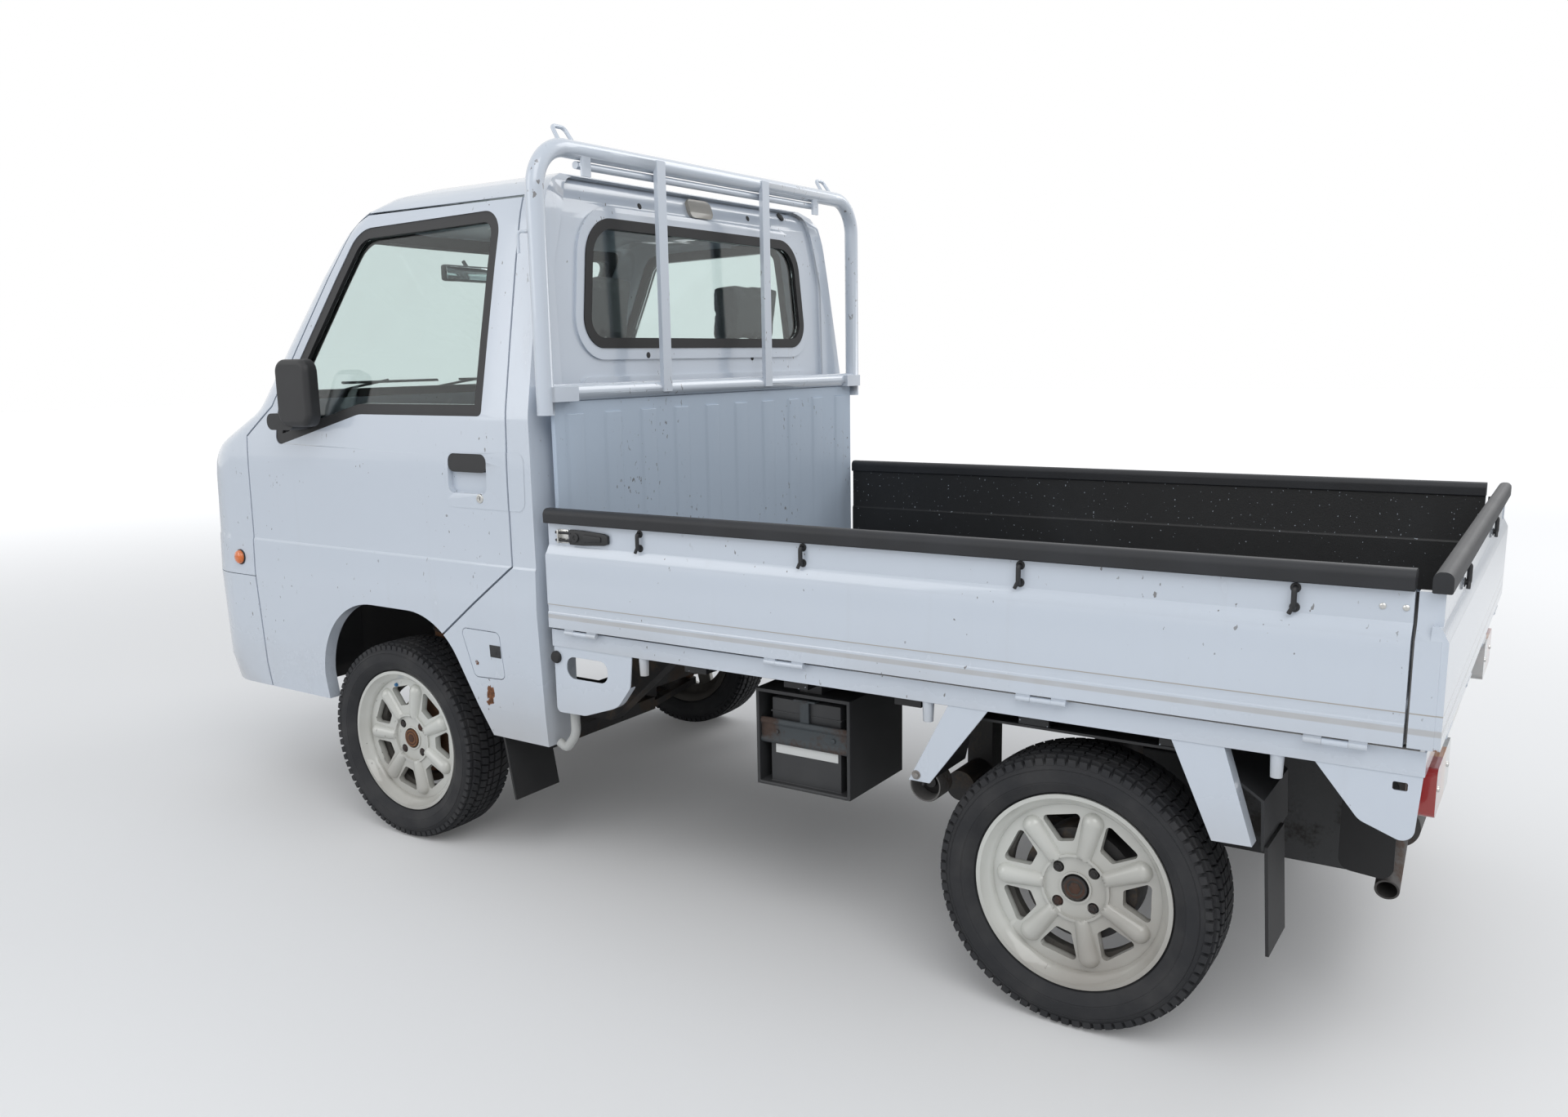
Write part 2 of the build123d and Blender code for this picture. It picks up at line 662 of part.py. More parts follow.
def make_steering_wheel():
    """Rim, three flat spokes and a round hub."""
    angle = math.radians(WHEEL_TILT_DEG)
    plane = Plane(origin=WHEEL_CENTRE, x_dir=(0, 1, 0), z_dir=(-math.sin(angle), 0, math.cos(angle)))
    wheel = Torus(WHEEL_RIM_RADIUS, WHEEL_GRIP_RADIUS)
    wheel = wheel + Pos(0, 0, -HUB_DROP / 2) * Cylinder(42.0, HUB_DROP)
    for turn in (0, 180, 270):
        spoke = Rot(0, 0, turn) * Pos(WHEEL_RIM_RADIUS / 2, 0, -9) * Box(WHEEL_RIM_RADIUS, 30.0, 9.0)
        wheel = wheel + spoke
    return plane * wheel


def make_seat():
    """The left seat: cushion, back and head restraint in one padded form."""
    cushion = from_side(rounded(SEAT_CUSHION), SEAT_Y - SEAT_HALF, SEAT_Y + SEAT_HALF)
    back = from_side(rounded(SEAT_BACK), SEAT_Y - SEAT_HALF, SEAT_Y + SEAT_HALF)
    head = from_side(rounded(HEAD_REST), SEAT_Y - HEAD_REST_HALF, SEAT_Y + HEAD_REST_HALF)
    return cushion + back + head


# Wheels

def make_rim():
    """A rim about the Z axis with its outer side up: a drop-centre barrel, a seven-spoke face and nuts."""
    half = RIM_WIDTH / 2
    bead = RIM_RADIUS
    lip = RIM_FLANGE_RADIUS
    well = bead - 26.0
    inner = bead - RIM_WALL
    section = [
        (lip - 8, half), (lip, half), (lip, half - 6), (bead, half - 14), (bead, half - 40),
        (well, half - 54), (well, 44 - half), (bead, 28 - half), (bead, 14 - half),
        (lip, 6 - half), (lip, -half), (lip - 8, -half),
        (inner, 12 - half), (inner, 30 - half), (well - RIM_WALL, 46 - half), (well - RIM_WALL, half - 60),
        (inner - 2, half - 44), (inner - 2, half - 22), (lip - 14, half - 10),
    ]
    rim = revolve(Plane.XZ * outline(section), Axis.Z)
    middle = (SPOKE_FACE + SPOKE_BACK) / 2
    face = Pos(0, 0, middle) * Cylinder(inner + 2, SPOKE_FACE - SPOKE_BACK)
    window = spoke_window()
    petal = make_petal()
    for index in range(SPOKE_COUNT):
        face = face - Rot(0, 0, (index + 0.5) * 360 / SPOKE_COUNT) * window
    for index in range(SPOKE_COUNT):
        face = face + Rot(0, 0, index * 360 / SPOKE_COUNT) * petal
    seat = SPOKE_FACE - HUB_RECESS_DEPTH + HUB_RIM_WIDTH
    top = SPOKE_FACE + HUB_RIM_WIDTH
    hub = Cylinder(HUB_RECESS_RADIUS + HUB_RIM_WIDTH, top - SPOKE_BACK)
    face = face + Pos(0, 0, (SPOKE_BACK + top) / 2) * hub
    face = face - Pos(0, 0, seat + 20) * Cylinder(HUB_RECESS_RADIUS, 40)
    face = face + Pos(0, 0, seat - 2) * Cylinder(HUB_BORE_RADIUS + 4, 10)
    face = face - Cylinder(HUB_BORE_RADIUS, 4 * SPOKE_FACE)
    well = Pos(0, 0, seat) * Cylinder(NUT_WELL_RADIUS, 2 * NUT_WELL_DEPTH)
    nut = extrude(RegularPolygon(NUT_RADIUS, 6), amount=NUT_WELL_DEPTH)
    for index in range(NUT_COUNT):
        turn = Rot(0, 0, (index + 0.5) * 360 / NUT_COUNT) * Pos(NUT_PCD / 2, 0, 0)
        face = face - turn * well
        face = face + turn * Pos(0, 0, seat - NUT_WELL_DEPTH - 1) * nut
    return rim + face


def make_petal():
    """One spoke's bulge along +X: a cone with a round end, flat at the back."""
    reach, radius = PETAL_HEAD
    tip = (reach + radius, 0)
    side = Line(PETAL_FOOT, PETAL_HEAD)
    end = RadiusArc(PETAL_HEAD, tip, radius)
    base = Polyline(tip, (PETAL_FOOT[0], 0), PETAL_FOOT)
    bulge = revolve(make_face(side + end + base), Axis.X)
    bulge = Pos(0, 0, PETAL_AXIS_Z) * bulge
    return bulge & box(0, 200, -60, 60, SPOKE_BACK, 100)


def spoke_window():
    """The cut between two spokes, from the hub's plate out to the barrel."""
    rows = []
    for radius, degrees, fillet_radius in SPOKE_WINDOW:
        angle = math.radians(degrees)
        rows.append((radius * math.cos(angle), radius * math.sin(angle), fillet_radius))
    for radius, degrees, fillet_radius in reversed(SPOKE_WINDOW):
        angle = -math.radians(degrees)
        rows.append((radius * math.cos(angle), radius * math.sin(angle), fillet_radius))
    return extrude(rounded(rows), amount=4 * SPOKE_FACE)


def make_tyre():
    """A tyre about the Z axis, hollow, seated just off the rim."""
    half = RIM_WIDTH / 2
    bead = RIM_RADIUS + SEAT_GAP
    lip = RIM_FLANGE_RADIUS
    bulge = TYRE_WIDTH / 2
    crown = TYRE_RADIUS
    outer = [
        (bead, half - 30), (bead, half - 16), (lip, half - 7.5), (lip + 4, half - 1), (lip + 16, half + 10),
        (lip + 34, bulge), (lip + 50, bulge - 1), (crown - 10, bulge - 9), (crown - 2, bulge - 20),
        (crown, bulge - 34),
    ]
    inside = [
        (crown - 12, bulge - 34), (crown - 20, bulge - 18), (lip + 40, bulge - 9), (lip + 20, bulge - 10),
        (lip + 2, half - 10), (bead + 8, half - 30),
    ]
    low_outer = [(radius, -width) for radius, width in reversed(outer)]
    low_inside = [(radius, -width) for radius, width in reversed(inside)]
    section = outline(outer + low_outer + low_inside + inside)
    return revolve(Plane.XZ * section, Axis.Z)


def on_left_hub(shape, axle_x):
    """Turn a shape made about Z onto a left hub, its outer side to the left."""
    return Pos(axle_x, WHEEL_Y, AXLE_Z) * Rot(-90, 0, 0) * shape


# Front suspension and steering

def kingpin_point(height):
    """A point on the left steering axis, which runs from the ball joint to the strut's top."""
    share = (height - LOWER_ARM_Z) / (STRUT_TOP[1] - LOWER_ARM_Z)
    return (FRONT_AXLE_X, KINGPIN_Y + share * (STRUT_TOP[0] - KINGPIN_Y), height)


def make_knuckle():
    """The left upright with its disc, hub, steering arm, strut tube and spring."""
    hub_face = WHEEL_Y + SPOKE_BACK - SEAT_GAP
    x = FRONT_AXLE_X
    knuckle = barrel(x, AXLE_Z, DISC_RADIUS, 596.0, 596.0 + DISC_THICKNESS)
    knuckle = knuckle + barrel(x, AXLE_Z, HUB_RADIUS, 600.0, hub_face)
    knuckle = knuckle + barrel(x, AXLE_Z, 24.0, hub_face - 5.0, hub_face + 22.0)
    knuckle = knuckle + barrel(x, AXLE_Z, 44.0, 548.0, 600.0)
    foot = LOWER_ARM_Z + LOWER_ARM_DEPTH / 2
    knuckle = knuckle + rod(kingpin_point(foot + 2.6), kingpin_point(foot + 32), 12.0)
    knuckle = knuckle + box(x - 22, x + 22, 562, 586, foot + 10, 330)
    knuckle = knuckle + box(x - 20, x + 20, STRUT_FOOT[0] - 8, 586, STRUT_FOOT[1] - 20, STRUT_FOOT[1] + 28)
    low = (x, STRUT_FOOT[0], STRUT_FOOT[1])
    high = (x, STRUT_TOP[0], STRUT_TOP[1])
    knuckle = knuckle + rod(low, high, STRUT_RADIUS)
    spring_top = (x, STRUT_TOP[0] - 1, STRUT_TOP[1] - 10)
    knuckle = knuckle + rod((x, STRUT_TOP[0] - 6, 480), spring_top, SPRING_RADIUS)
    arm_x = x - KNUCKLE_ARM
    knuckle = knuckle + box(arm_x - 13, x, 562, 580, TIE_ROD_Z - 8, TIE_ROD_Z + 8)
    return knuckle + Pos(arm_x, KINGPIN_Y - 12, TIE_ROD_Z) * Cylinder(13.0, 16.0)


def make_front_suspension():
    """Lower arms, strut seats, a cross-member and the rack's housing."""
    x = FRONT_AXLE_X
    half = LOWER_ARM_DEPTH / 2
    arm_sketch = outline([(x - 20, 590), (x + 20, 590), (x + 90, 262), (x - 90, 262)])
    arm = Pos(0, 0, LOWER_ARM_Z - half) * extrude(arm_sketch, amount=LOWER_ARM_DEPTH)
    arm = arm + Pos(x, KINGPIN_Y, LOWER_ARM_Z) * Cylinder(22.0, LOWER_ARM_DEPTH)
    arm = arm - Pos(x, 380, LOWER_ARM_Z) * Box(60, 120, 80)
    seat_top = SEAT_SHELF_Z - FLOOR_THICKNESS - SEAT_GAP
    seat_low = STRUT_TOP[1] + STRUT_CLEARANCE
    seat = Pos(x, STRUT_TOP[0], (seat_low + seat_top) / 2) * Cylinder(52.0, seat_top - seat_low)
    beam = box(x - 100, x + 100, -270, 270, LOWER_ARM_Z - half, LOWER_ARM_Z + 30)
    for side in (1, -1):
        y = side * (RAIL_OUTER_Y - RAIL_WIDTH / 2)
        inner = side * 250
        low_y, high_y = min(inner, y), max(inner, y)
        beam = beam + box(x - 60, x + 60, low_y, high_y, LOWER_ARM_Z - half, FRONT_RAIL_Z - SEAT_GAP)
    rack_x = x - KNUCKLE_ARM
    housing = barrel(rack_x, TIE_ROD_Z, RACK_RADIUS + 12, -RACK_HOUSING_HALF, RACK_HOUSING_HALF)
    housing = housing - barrel(rack_x, TIE_ROD_Z, RACK_RADIUS + 0.6, -400, 400)
    strap = box(rack_x - 8, rack_x + 40, -140, -100, LOWER_ARM_Z, TIE_ROD_Z - 14)
    strap = strap + right_of(strap)
    frame = beam + arm + right_of(arm) + housing + strap
    return apart([frame, seat, right_of(seat)])


def make_rack():
    """The sliding rack with its tie rods and rod ends."""
    rack_x = FRONT_AXLE_X - KNUCKLE_ARM
    rack = barrel(rack_x, TIE_ROD_Z, RACK_RADIUS, -RACK_HALF, RACK_HALF)
    reach = KINGPIN_Y - 12
    rods = barrel(rack_x, TIE_ROD_Z, TIE_ROD_RADIUS, -reach + 32, reach - 32)
    return rack + rods


# Rear suspension and driveline

def make_rear_suspension():
    """Trailing arms, springs, drums and half-shafts of the rear wheels."""
    x = REAR_AXLE_X
    hub_face = WHEEL_Y + SPOKE_BACK - SEAT_GAP
    low, high = 395.0, 445.0
    profile = [
        (x - 50, AXLE_Z - 34), (x + 60, AXLE_Z - 34), (x + 350, 330),
        (x + 350, 380), (x + 60, 312), (x - 50, 312),
    ]
    arm = from_side(outline(profile), low, high)
    arm = arm + barrel(x + 335, 355, 34.0, RAIL_OUTER_Y + SEAT_GAP, high + 12)
    arm = arm + barrel(x, AXLE_Z, 40.0, low, 570.0)
    arm = arm + barrel(x, AXLE_Z, 112.0, 562.0, 632.0)
    arm = arm + barrel(x, AXLE_Z, HUB_RADIUS, 620.0, hub_face)
    arm = arm + barrel(x, AXLE_Z, 24.0, hub_face - 5.0, hub_face + 22.0)
    arm = arm + barrel(x, AXLE_Z, 17.0, GEARBOX_HALF + SEAT_GAP, low + 5)
    spring_top = SPRING_SEAT_Z - SEAT_GAP
    spring = Pos(x, (low + high) / 2, (300 + spring_top) / 2) * Cylinder(48.0, spring_top - 300)
    return both_sides(arm + spring)


def make_engine():
    """The engine as one plain block with the gearbox ahead of it."""
    block = fillet(box(*ENGINE_BOX).edges().filter_by(Axis.Y), 30)
    gearbox = box(ENGINE_BOX[1] - 5, REAR_AXLE_X + 95, -GEARBOX_HALF, GEARBOX_HALF, 205, 400)
    return block + gearbox


def make_muffler():
    """The silencer across the tail, with its hangers and tail pipe."""
    x = MUFFLER_X
    can = barrel(x, 340, MUFFLER_RADIUS, -330, 190)
    pipe = rod((x, 150, 335), (x - 10, 370, 275), 22.0)
    pipe = pipe - rod((x - 5, 260, 305), (x - 10.5, 381, 272), 18.0)
    hanger = box(x - 8, x + 8, -220, -200, 370, REAR_RAIL_Z + 20 - SEAT_GAP)
    return can + pipe + hanger + Pos(0, 360, 0) * hanger


# Frame

def make_chassis():
    """Two kinked rails with their cross-members and the spring seats."""
    rail = [
        (NOSE_X - 95, FRONT_RAIL_Z), (KICK_FRONT_X, FRONT_RAIL_Z), (KICK_BACK_X, REAR_RAIL_Z),
        (TAIL_X + 70, REAR_RAIL_Z), (TAIL_X + 70, REAR_RAIL_Z + RAIL_HEIGHT),
        (KICK_BACK_X + 20, REAR_RAIL_Z + RAIL_HEIGHT), (KICK_FRONT_X + 20, FRONT_RAIL_Z + RAIL_HEIGHT),
        (NOSE_X - 95, FRONT_RAIL_Z + RAIL_HEIGHT),
    ]
    inner = RAIL_OUTER_Y - RAIL_WIDTH
    frame = from_side(outline(rail), inner, RAIL_OUTER_Y)
    x = REAR_AXLE_X
    frame = frame + box(x - 55, x + 55, RAIL_OUTER_Y - 5, 478, SPRING_SEAT_Z, REAR_RAIL_Z + RAIL_HEIGHT)
    frame = frame + box(x + 305, x + 365, inner, RAIL_OUTER_Y, 315, REAR_RAIL_Z + 5)
    frame = frame + right_of(frame)
    for x, level in CROSS_MEMBERS:
        base = REAR_RAIL_Z if level == "high" else FRONT_RAIL_Z
        half = CROSS_MEMBER / 2
        frame = frame + box(x - half, x + half, -inner - 5, inner + 5, base + 20, base + RAIL_HEIGHT - 10)
    return frame


# Load bed

def beam_x(index):
    """The middle of one of the bed's cross beams, counted from the tail."""
    back = TAIL_X + TAIL_SILL_INSET
    pitch = (BED_FRONT_X - back - 260) / (BED_BEAM_COUNT - 1)
    return back + 130 + index * pitch


def make_bed_floor():
    """Deck, sills, beams underneath and the sill halves of the hinges."""
    back = TAIL_X + TAIL_SILL_INSET
    deck_low = BED_FLOOR_Z - DECK_THICKNESS
    beam_low = deck_low - BED_BEAM_HEIGHT
    bed = box(back, BED_FRONT_X, -SILL_OUTER_Y, SILL_OUTER_Y, deck_low, BED_FLOOR_Z)
    sill = box(back, BED_FRONT_X, SILL_OUTER_Y - SILL_WIDTH, SILL_OUTER_Y, SILL_BOTTOM_Z, deck_low + 1)
    bed = bed + sill + right_of(sill)
    tail_end = TAIL_X + TAIL_THICKNESS + 4.5
    head_end = BED_FRONT_X - HEADBOARD_PLATE - HEADBOARD_RIB
    deck_face = box(tail_end, head_end, -DECK_HALF, DECK_HALF, 0, 900)
    bed = bed - (box(back - 1, BED_FRONT_X + 1, -800, 800, BED_FLOOR_Z - DECK_STEP, 800) - deck_face)
    reach = SILL_OUTER_Y - 5
    for x in (back, BED_FRONT_X - SILL_WIDTH):
        bed = bed + box(x, x + SILL_WIDTH, -reach, reach, SILL_BOTTOM_Z, deck_low + 1)
    for index in range(BED_BEAM_COUNT):
        x0 = beam_x(index) - BED_BEAM_WIDTH / 2
        bed = bed + box(x0, x0 + BED_BEAM_WIDTH, -BED_BEAM_REACH, BED_BEAM_REACH, beam_low, deck_low + 1)
    for x in SIDE_HINGES_X:
        half = HINGE_MIDDLE / 2
        knuckle = rod((x - half, SIDE_HINGE_Y, HINGE_Z), (x + half, SIDE_HINGE_Y, HINGE_Z), HINGE_RADIUS)
        leaf = box(x - half, x + half, SILL_OUTER_Y - 3, SIDE_HINGE_Y, HINGE_Z - 5, HINGE_Z + 1)
        bed = bed + (knuckle + leaf) + right_of(knuckle + leaf)
    for y in TAIL_HINGES_Y:
        half = HINGE_MIDDLE / 2
        knuckle = barrel(TAIL_HINGE_X, HINGE_Z, HINGE_RADIUS, y - half, y + half)
        leaf = box(TAIL_HINGE_X, back + 3, y - half, y + half, HINGE_Z - 5, HINGE_Z + 1)
        bed = bed + knuckle + leaf
    for x in PEGS_X:
        peg = Pos(x, SILL_OUTER_Y - 14, SILL_BOTTOM_Z - 20) * Cone(10.0, 12.0, 44.0)
        bed = bed + peg + right_of(peg)
    return bed


def make_side_gate():
    """The left drop side: a stepped wall with its hinge halves and rope hooks."""
    outer = HALF_WIDTH
    strip = HALF_WIDTH - GATE_STRIP_DEPTH
    inner = HALF_WIDTH - GATE_THICKNESS
    section = [
        (outer, GATE_BOTTOM_Z), (outer, 702), (outer - 2, 705), (outer - 2, 719), (outer, 722),
        (outer, SHOULDER_LOW_Z), (strip, SHOULDER_TOP_Z), (strip, GATE_TOP_Z),
        (inner + 4, GATE_TOP_Z), (inner + 4, 800), (inner, 794), (inner, GATE_BOTTOM_Z),
    ]
    back = TAIL_X + TAIL_RETURN + SHUT_GAP
    gate = from_front(outline(section), back, GATE_FRONT_X)
    for x in SIDE_HINGES_X:
        for side in (1, -1):
            near = x + side * (HINGE_MIDDLE / 2 + SEAT_GAP)
            far = x + side * HINGE_LENGTH / 2
            start, end = min(near, far), max(near, far)
            gate = gate + rod((start, SIDE_HINGE_Y, HINGE_Z), (end, SIDE_HINGE_Y, HINGE_Z), HINGE_RADIUS)
            gate = gate + box(start, end, SIDE_HINGE_Y - 3, SIDE_HINGE_Y + 3, HINGE_Z, GATE_BOTTOM_Z + 1)
    for x in HOOKS_X:
        gate = gate + make_rope_hook(x, strip)
    return gate


def make_rope_hook(x, face_y):
    """A bent rod loop standing off the gate's upper strip."""
    corners = [(x, face_y - 2, 871), (x, face_y + 10, 871), (x, face_y + 10, 903), (x, face_y - 2, 903)]
    path = FilletPolyline(*corners, radius=5.0)
    return sweep(Plane(origin=corners[0], z_dir=(0, 1, 0)) * Circle(4.0), path=path)


def make_tailgate():
    """The drop tail with its side returns and hinge halves."""
    x0 = TAIL_X
    inner = TAIL_X + TAIL_THICKNESS
    strip = TAIL_X + GATE_STRIP_DEPTH - 3
    section = [
        (x0, GATE_BOTTOM_Z), (x0, SHOULDER_LOW_Z), (strip, SHOULDER_TOP_Z), (strip, GATE_TOP_Z),
        (inner, GATE_TOP_Z), (inner, GATE_BOTTOM_Z),
    ]
    gate = from_side(outline(section), -HALF_WIDTH + 1, HALF_WIDTH - 1)
    strip_y = HALF_WIDTH - GATE_STRIP_DEPTH
    end = outline([
        (HALF_WIDTH, GATE_BOTTOM_Z), (HALF_WIDTH, SHOULDER_LOW_Z),
        (strip_y, SHOULDER_TOP_Z), (strip_y, GATE_TOP_Z),
        (HALF_WIDTH - GATE_THICKNESS + 4, GATE_TOP_Z), (HALF_WIDTH - GATE_THICKNESS + 4, GATE_BOTTOM_Z),
    ])
    side = from_front(end, TAIL_X + 10, TAIL_X + TAIL_RETURN)
    trim = box(TAIL_X - 5, TAIL_X + TAIL_RETURN, strip_y, HALF_WIDTH + 5, SHOULDER_TOP_Z, GATE_TOP_Z + 5)
    gate = gate - trim - right_of(trim) + side + right_of(side)
    for y in TAIL_HINGES_Y:
        for side_sign in (1, -1):
            near = y + side_sign * (HINGE_MIDDLE / 2 + SEAT_GAP)
            far = y + side_sign * HINGE_LENGTH / 2
            start, end_y = min(near, far), max(near, far)
            gate = gate + barrel(TAIL_HINGE_X, HINGE_Z, HINGE_RADIUS, start, end_y)
            gate = gate + box(TAIL_HINGE_X - 3, TAIL_HINGE_X + 3, start, end_y, HINGE_Z, GATE_BOTTOM_Z + 1)
    return gate


def pad_section(outer, width):
    """The half-round section of a gate's top pad: (across, height)."""
    base = GATE_TOP_Z + SEAT_GAP
    radius = 0.42 * min(PAD_TOP_Z - base, width)
    return rounded([
        (outer, base, 3.0), (outer, PAD_TOP_Z, radius),
        (outer - width, PAD_TOP_Z, radius), (outer - width, base, 3.0),
    ])


def make_side_pad():
    """The black pad along the top of the left drop side."""
    section = pad_section(HALF_WIDTH - 0.5, PAD_WIDTH)
    return from_front(section, TAIL_X + TAIL_RETURN + SHUT_GAP, GATE_FRONT_X + 2)


def make_tail_pad():
    """The black pad along the top of the tailgate."""
    section = mirror(pad_section(-TAIL_X, TAIL_THICKNESS + 4), about=Plane.YZ)
    return from_side(section, -HALF_WIDTH + 1, HALF_WIDTH - 1)


def make_latch():
    """The black lever latch on the front end of the left drop side."""
    strip = HALF_WIDTH - GATE_STRIP_DEPTH + SEAT_GAP
    plate = box(60, 136, strip, strip + 5, 869, 903)
    lever = from_side(rounded_rect(-24, 92, 872, 898, 10), strip + 4.5, strip + 13)
    return plate + lever


def make_wheel_stays():
    """White stays and corner brackets under the left sill."""
    top = SILL_BOTTOM_Z - SEAT_GAP
    front = from_side(outline([(-854, top), (-937, top), (-815, 450), (-769, 450)]), STAY_Y - 5, STAY_Y)
    back = from_side(outline([(-1282, top), (-1372, top), (-1426, 446), (-1358, 444)]), STAY_Y - 34, STAY_Y)
    groove = outline([(-1300, 600), (-1352, 600), (-1402, 460), (-1370, 460)])
    back = back - from_side(groove, STAY_Y - 40, STAY_Y - 5)
    corner_rows = [(-1516, top, 0.0), (-1587, 528, 30.0), (-1668, 497, 20.0), (-1676, top, 0.0)]
    corner = from_side(rounded(corner_rows), STAY_Y - 4, STAY_Y)
    corner = corner - from_side(rounded_rect(-1655, -1633, 588, 602, 3), STAY_Y - 10, STAY_Y + 6)
    return [front, back, corner, make_front_bracket(top)]


def make_front_bracket(top):
    """The white plate under the sill's front end, with its long hole and a turned-in lower edge."""
    rows = [(180.0, top, 0.0), (180.0, 452.0, 14.0), (90.0, 454.0, 40.0), (-12.0, 488.0, 60.0)]
    plate = rounded(rows + [(-52.0, 540.0, 30.0), (-60.0, top, 0.0)])
    hole = rounded_rect(14.0, 142.0, 541.0, 594.0, 24.0)
    bracket = from_side(plate - hole, STAY_Y - 4, STAY_Y)
    lip = from_side(plate - offset(plate, amount=-4.0), STAY_Y - 22, STAY_Y)
    return bracket + (lip & box(-200, 170, 0, 800, 300, 540))


def liner(outer_rows, thickness, y0, y1, low):
    """A bent sheet following an arch outline, open below."""
    shape = outline(outer_rows)
    inside = offset(shape, amount=-thickness, kind=Kind.INTERSECTION)
    sheet = from_side(shape - inside, y0, y1)
    return sheet & box(-1800, 1800, -800, 800, low, 800)


def make_front_liner():
    """The dark liner over the left front wheel, clear of the strut's seat."""
    strut_side = STRUT_TOP[0] + 52.0 + 1.0
    sheet = liner(FRONT_LINER, 5.0, strut_side, HALF_WIDTH, 440.0)
    return sheet & cab_solid(CAB_WALL + SHUT_GAP + 1.0, 60.0)


def make_rear_liner():
    """The dark liner over the left rear wheel."""
    return liner(REAR_LINER, 5.0, 484.0, STAY_Y - 34 - SEAT_GAP, 430.0)


def make_mudflaps():
    """Rubber flaps behind the left wheels."""
    front = from_side(outline([(402, 436), (396, 436), (352, 190), (358, 190)]), 545, 700)
    front = front & (CABIN_FIT + box(200, 600, 500, 750, 100, CAB_BOTTOM_Z - SEAT_GAP))
    rear = from_side(outline([(-1444.9, 436), (-1438.9, 436), (-1450.9, 236), (-1456.9, 236)]), 545, 680)
    beam_low = BED_FLOOR_Z - DECK_THICKNESS - BED_BEAM_HEIGHT
    plate = rounded([
        (-1524, beam_low - SEAT_GAP, 0), (-1524, 330, 24), (-1618, 322, 24), (-1618, 500, 30),
        (-1576, beam_low - SEAT_GAP, 0),
    ])
    return apart([front, rear, from_side(plate, 440, 443)])


def make_battery():
    """The battery in its open-fronted housing under the left sill."""
    x0, x1, y0, y1, z0, z1 = BATTERY_BOX
    housing = box(*BATTERY_BOX) - box(x0 + 8, x1 - 8, y0 + 8, y1 + 5, z0 + 8, z1 - 8)
    hanger_x = beam_x(4)
    hanger_top = BED_FLOOR_Z - DECK_THICKNESS - BED_BEAM_HEIGHT - SEAT_GAP
    hanger = box(hanger_x - 28, hanger_x + 28, y0 + 20, y1 - 20, z1 - 2, hanger_top)
    cell = box(x0 + 30, x1 - 30, y0 + 20, y1 - 14, z0 + 8, z1 - 70)
    return housing + hanger + cell


def make_tank():
    """The fuel tank under the right side of the bed."""
    tank = fillet(box(*TANK_BOX).edges().filter_by(Axis.X), 40)
    hanger_top = BED_FLOOR_Z - DECK_THICKNESS - BED_BEAM_HEIGHT - SEAT_GAP
    for index in (4, 5):
        x = beam_x(index)
        tank = tank + box(x - 15, x + 15, -560, -440, TANK_BOX[5] - 5, hanger_top)
    return tank


def make_headboard():
    """The ribbed front wall of the bed."""
    low = BED_FLOOR_Z - DECK_STEP + SEAT_GAP
    face = BED_FRONT_X - HEADBOARD_PLATE
    plate = box(face, BED_FRONT_X, -HEADBOARD_HALF, HEADBOARD_HALF, low, HEADBOARD_TOP_Z)
    pitch = 2 * HEADBOARD_HALF / HEADBOARD_RIBS
    for index in range(HEADBOARD_RIBS):
        y = -HEADBOARD_HALF + pitch * (index + 0.5)
        rib_rows = [(y - 34, 0), (y - 26, HEADBOARD_RIB), (y + 26, HEADBOARD_RIB), (y + 34, 0)]
        rib = outline([(face + 1 - depth, across) for across, depth in rib_rows])
        plate = plate + Pos(0, 0, low + 30) * extrude(rib, amount=HEADBOARD_TOP_Z - low - 60)
    return plate


def make_guard_frame():
    """Bent tube guard behind the cab, with its middle tube, upright bars and feet."""
    radius = GUARD_TUBE_RADIUS
    y = GUARD_OUTER_Y - radius
    top = GUARD_TOP_Z - radius
    corners = [(GUARD_X, -y, GUARD_FOOT_Z), (GUARD_X, -y, top), (GUARD_X, y, top), (GUARD_X, y, GUARD_FOOT_Z)]
    path = FilletPolyline(*corners, radius=GUARD_BEND)
    guard = sweep(Plane(origin=corners[0], z_dir=(0, 0, 1)) * Circle(radius), path=path)
    middle = HEADBOARD_TOP_Z + SEAT_GAP + GUARD_TUBE_RADIUS - 1
    guard = guard + barrel(GUARD_X, middle, GUARD_TUBE_RADIUS - 1, -y, y)
    for bar_y in GUARD_BARS_Y:
        half = GUARD_BAR_WIDTH / 2
        guard = guard + box(GUARD_X - 24, GUARD_X - 12, bar_y - half, bar_y + half, middle - 8, top + 8)
    foot = box(GUARD_X - 30, GUARD_X + 6, HEADBOARD_HALF - 60, y, HEADBOARD_TOP_Z + SEAT_GAP, middle + 14)
    loop = make_guard_loop()
    guard = guard + foot + right_of(foot) + loop + right_of(loop)
    left, right = GUARD_RAIL_Y
    guard = guard + barrel(GUARD_X + 4, GUARD_RAIL_Z, GUARD_RAIL_RADIUS, right, left)
    half = GUARD_RAIL_TAB / 2
    for tab_y in (left - half - 2, right + half):
        plate = (tab_y - half, tab_y + half, GUARD_RAIL_Z - 26, top)
        guard = guard + box(GUARD_X - 16, GUARD_X - 10, *plate)
        arm = (tab_y - half, tab_y + half, GUARD_RAIL_Z - 4, GUARD_RAIL_Z + 4)
        guard = guard + box(GUARD_X - 16, GUARD_X + 4, *arm)
    return guard + make_wire_hook()


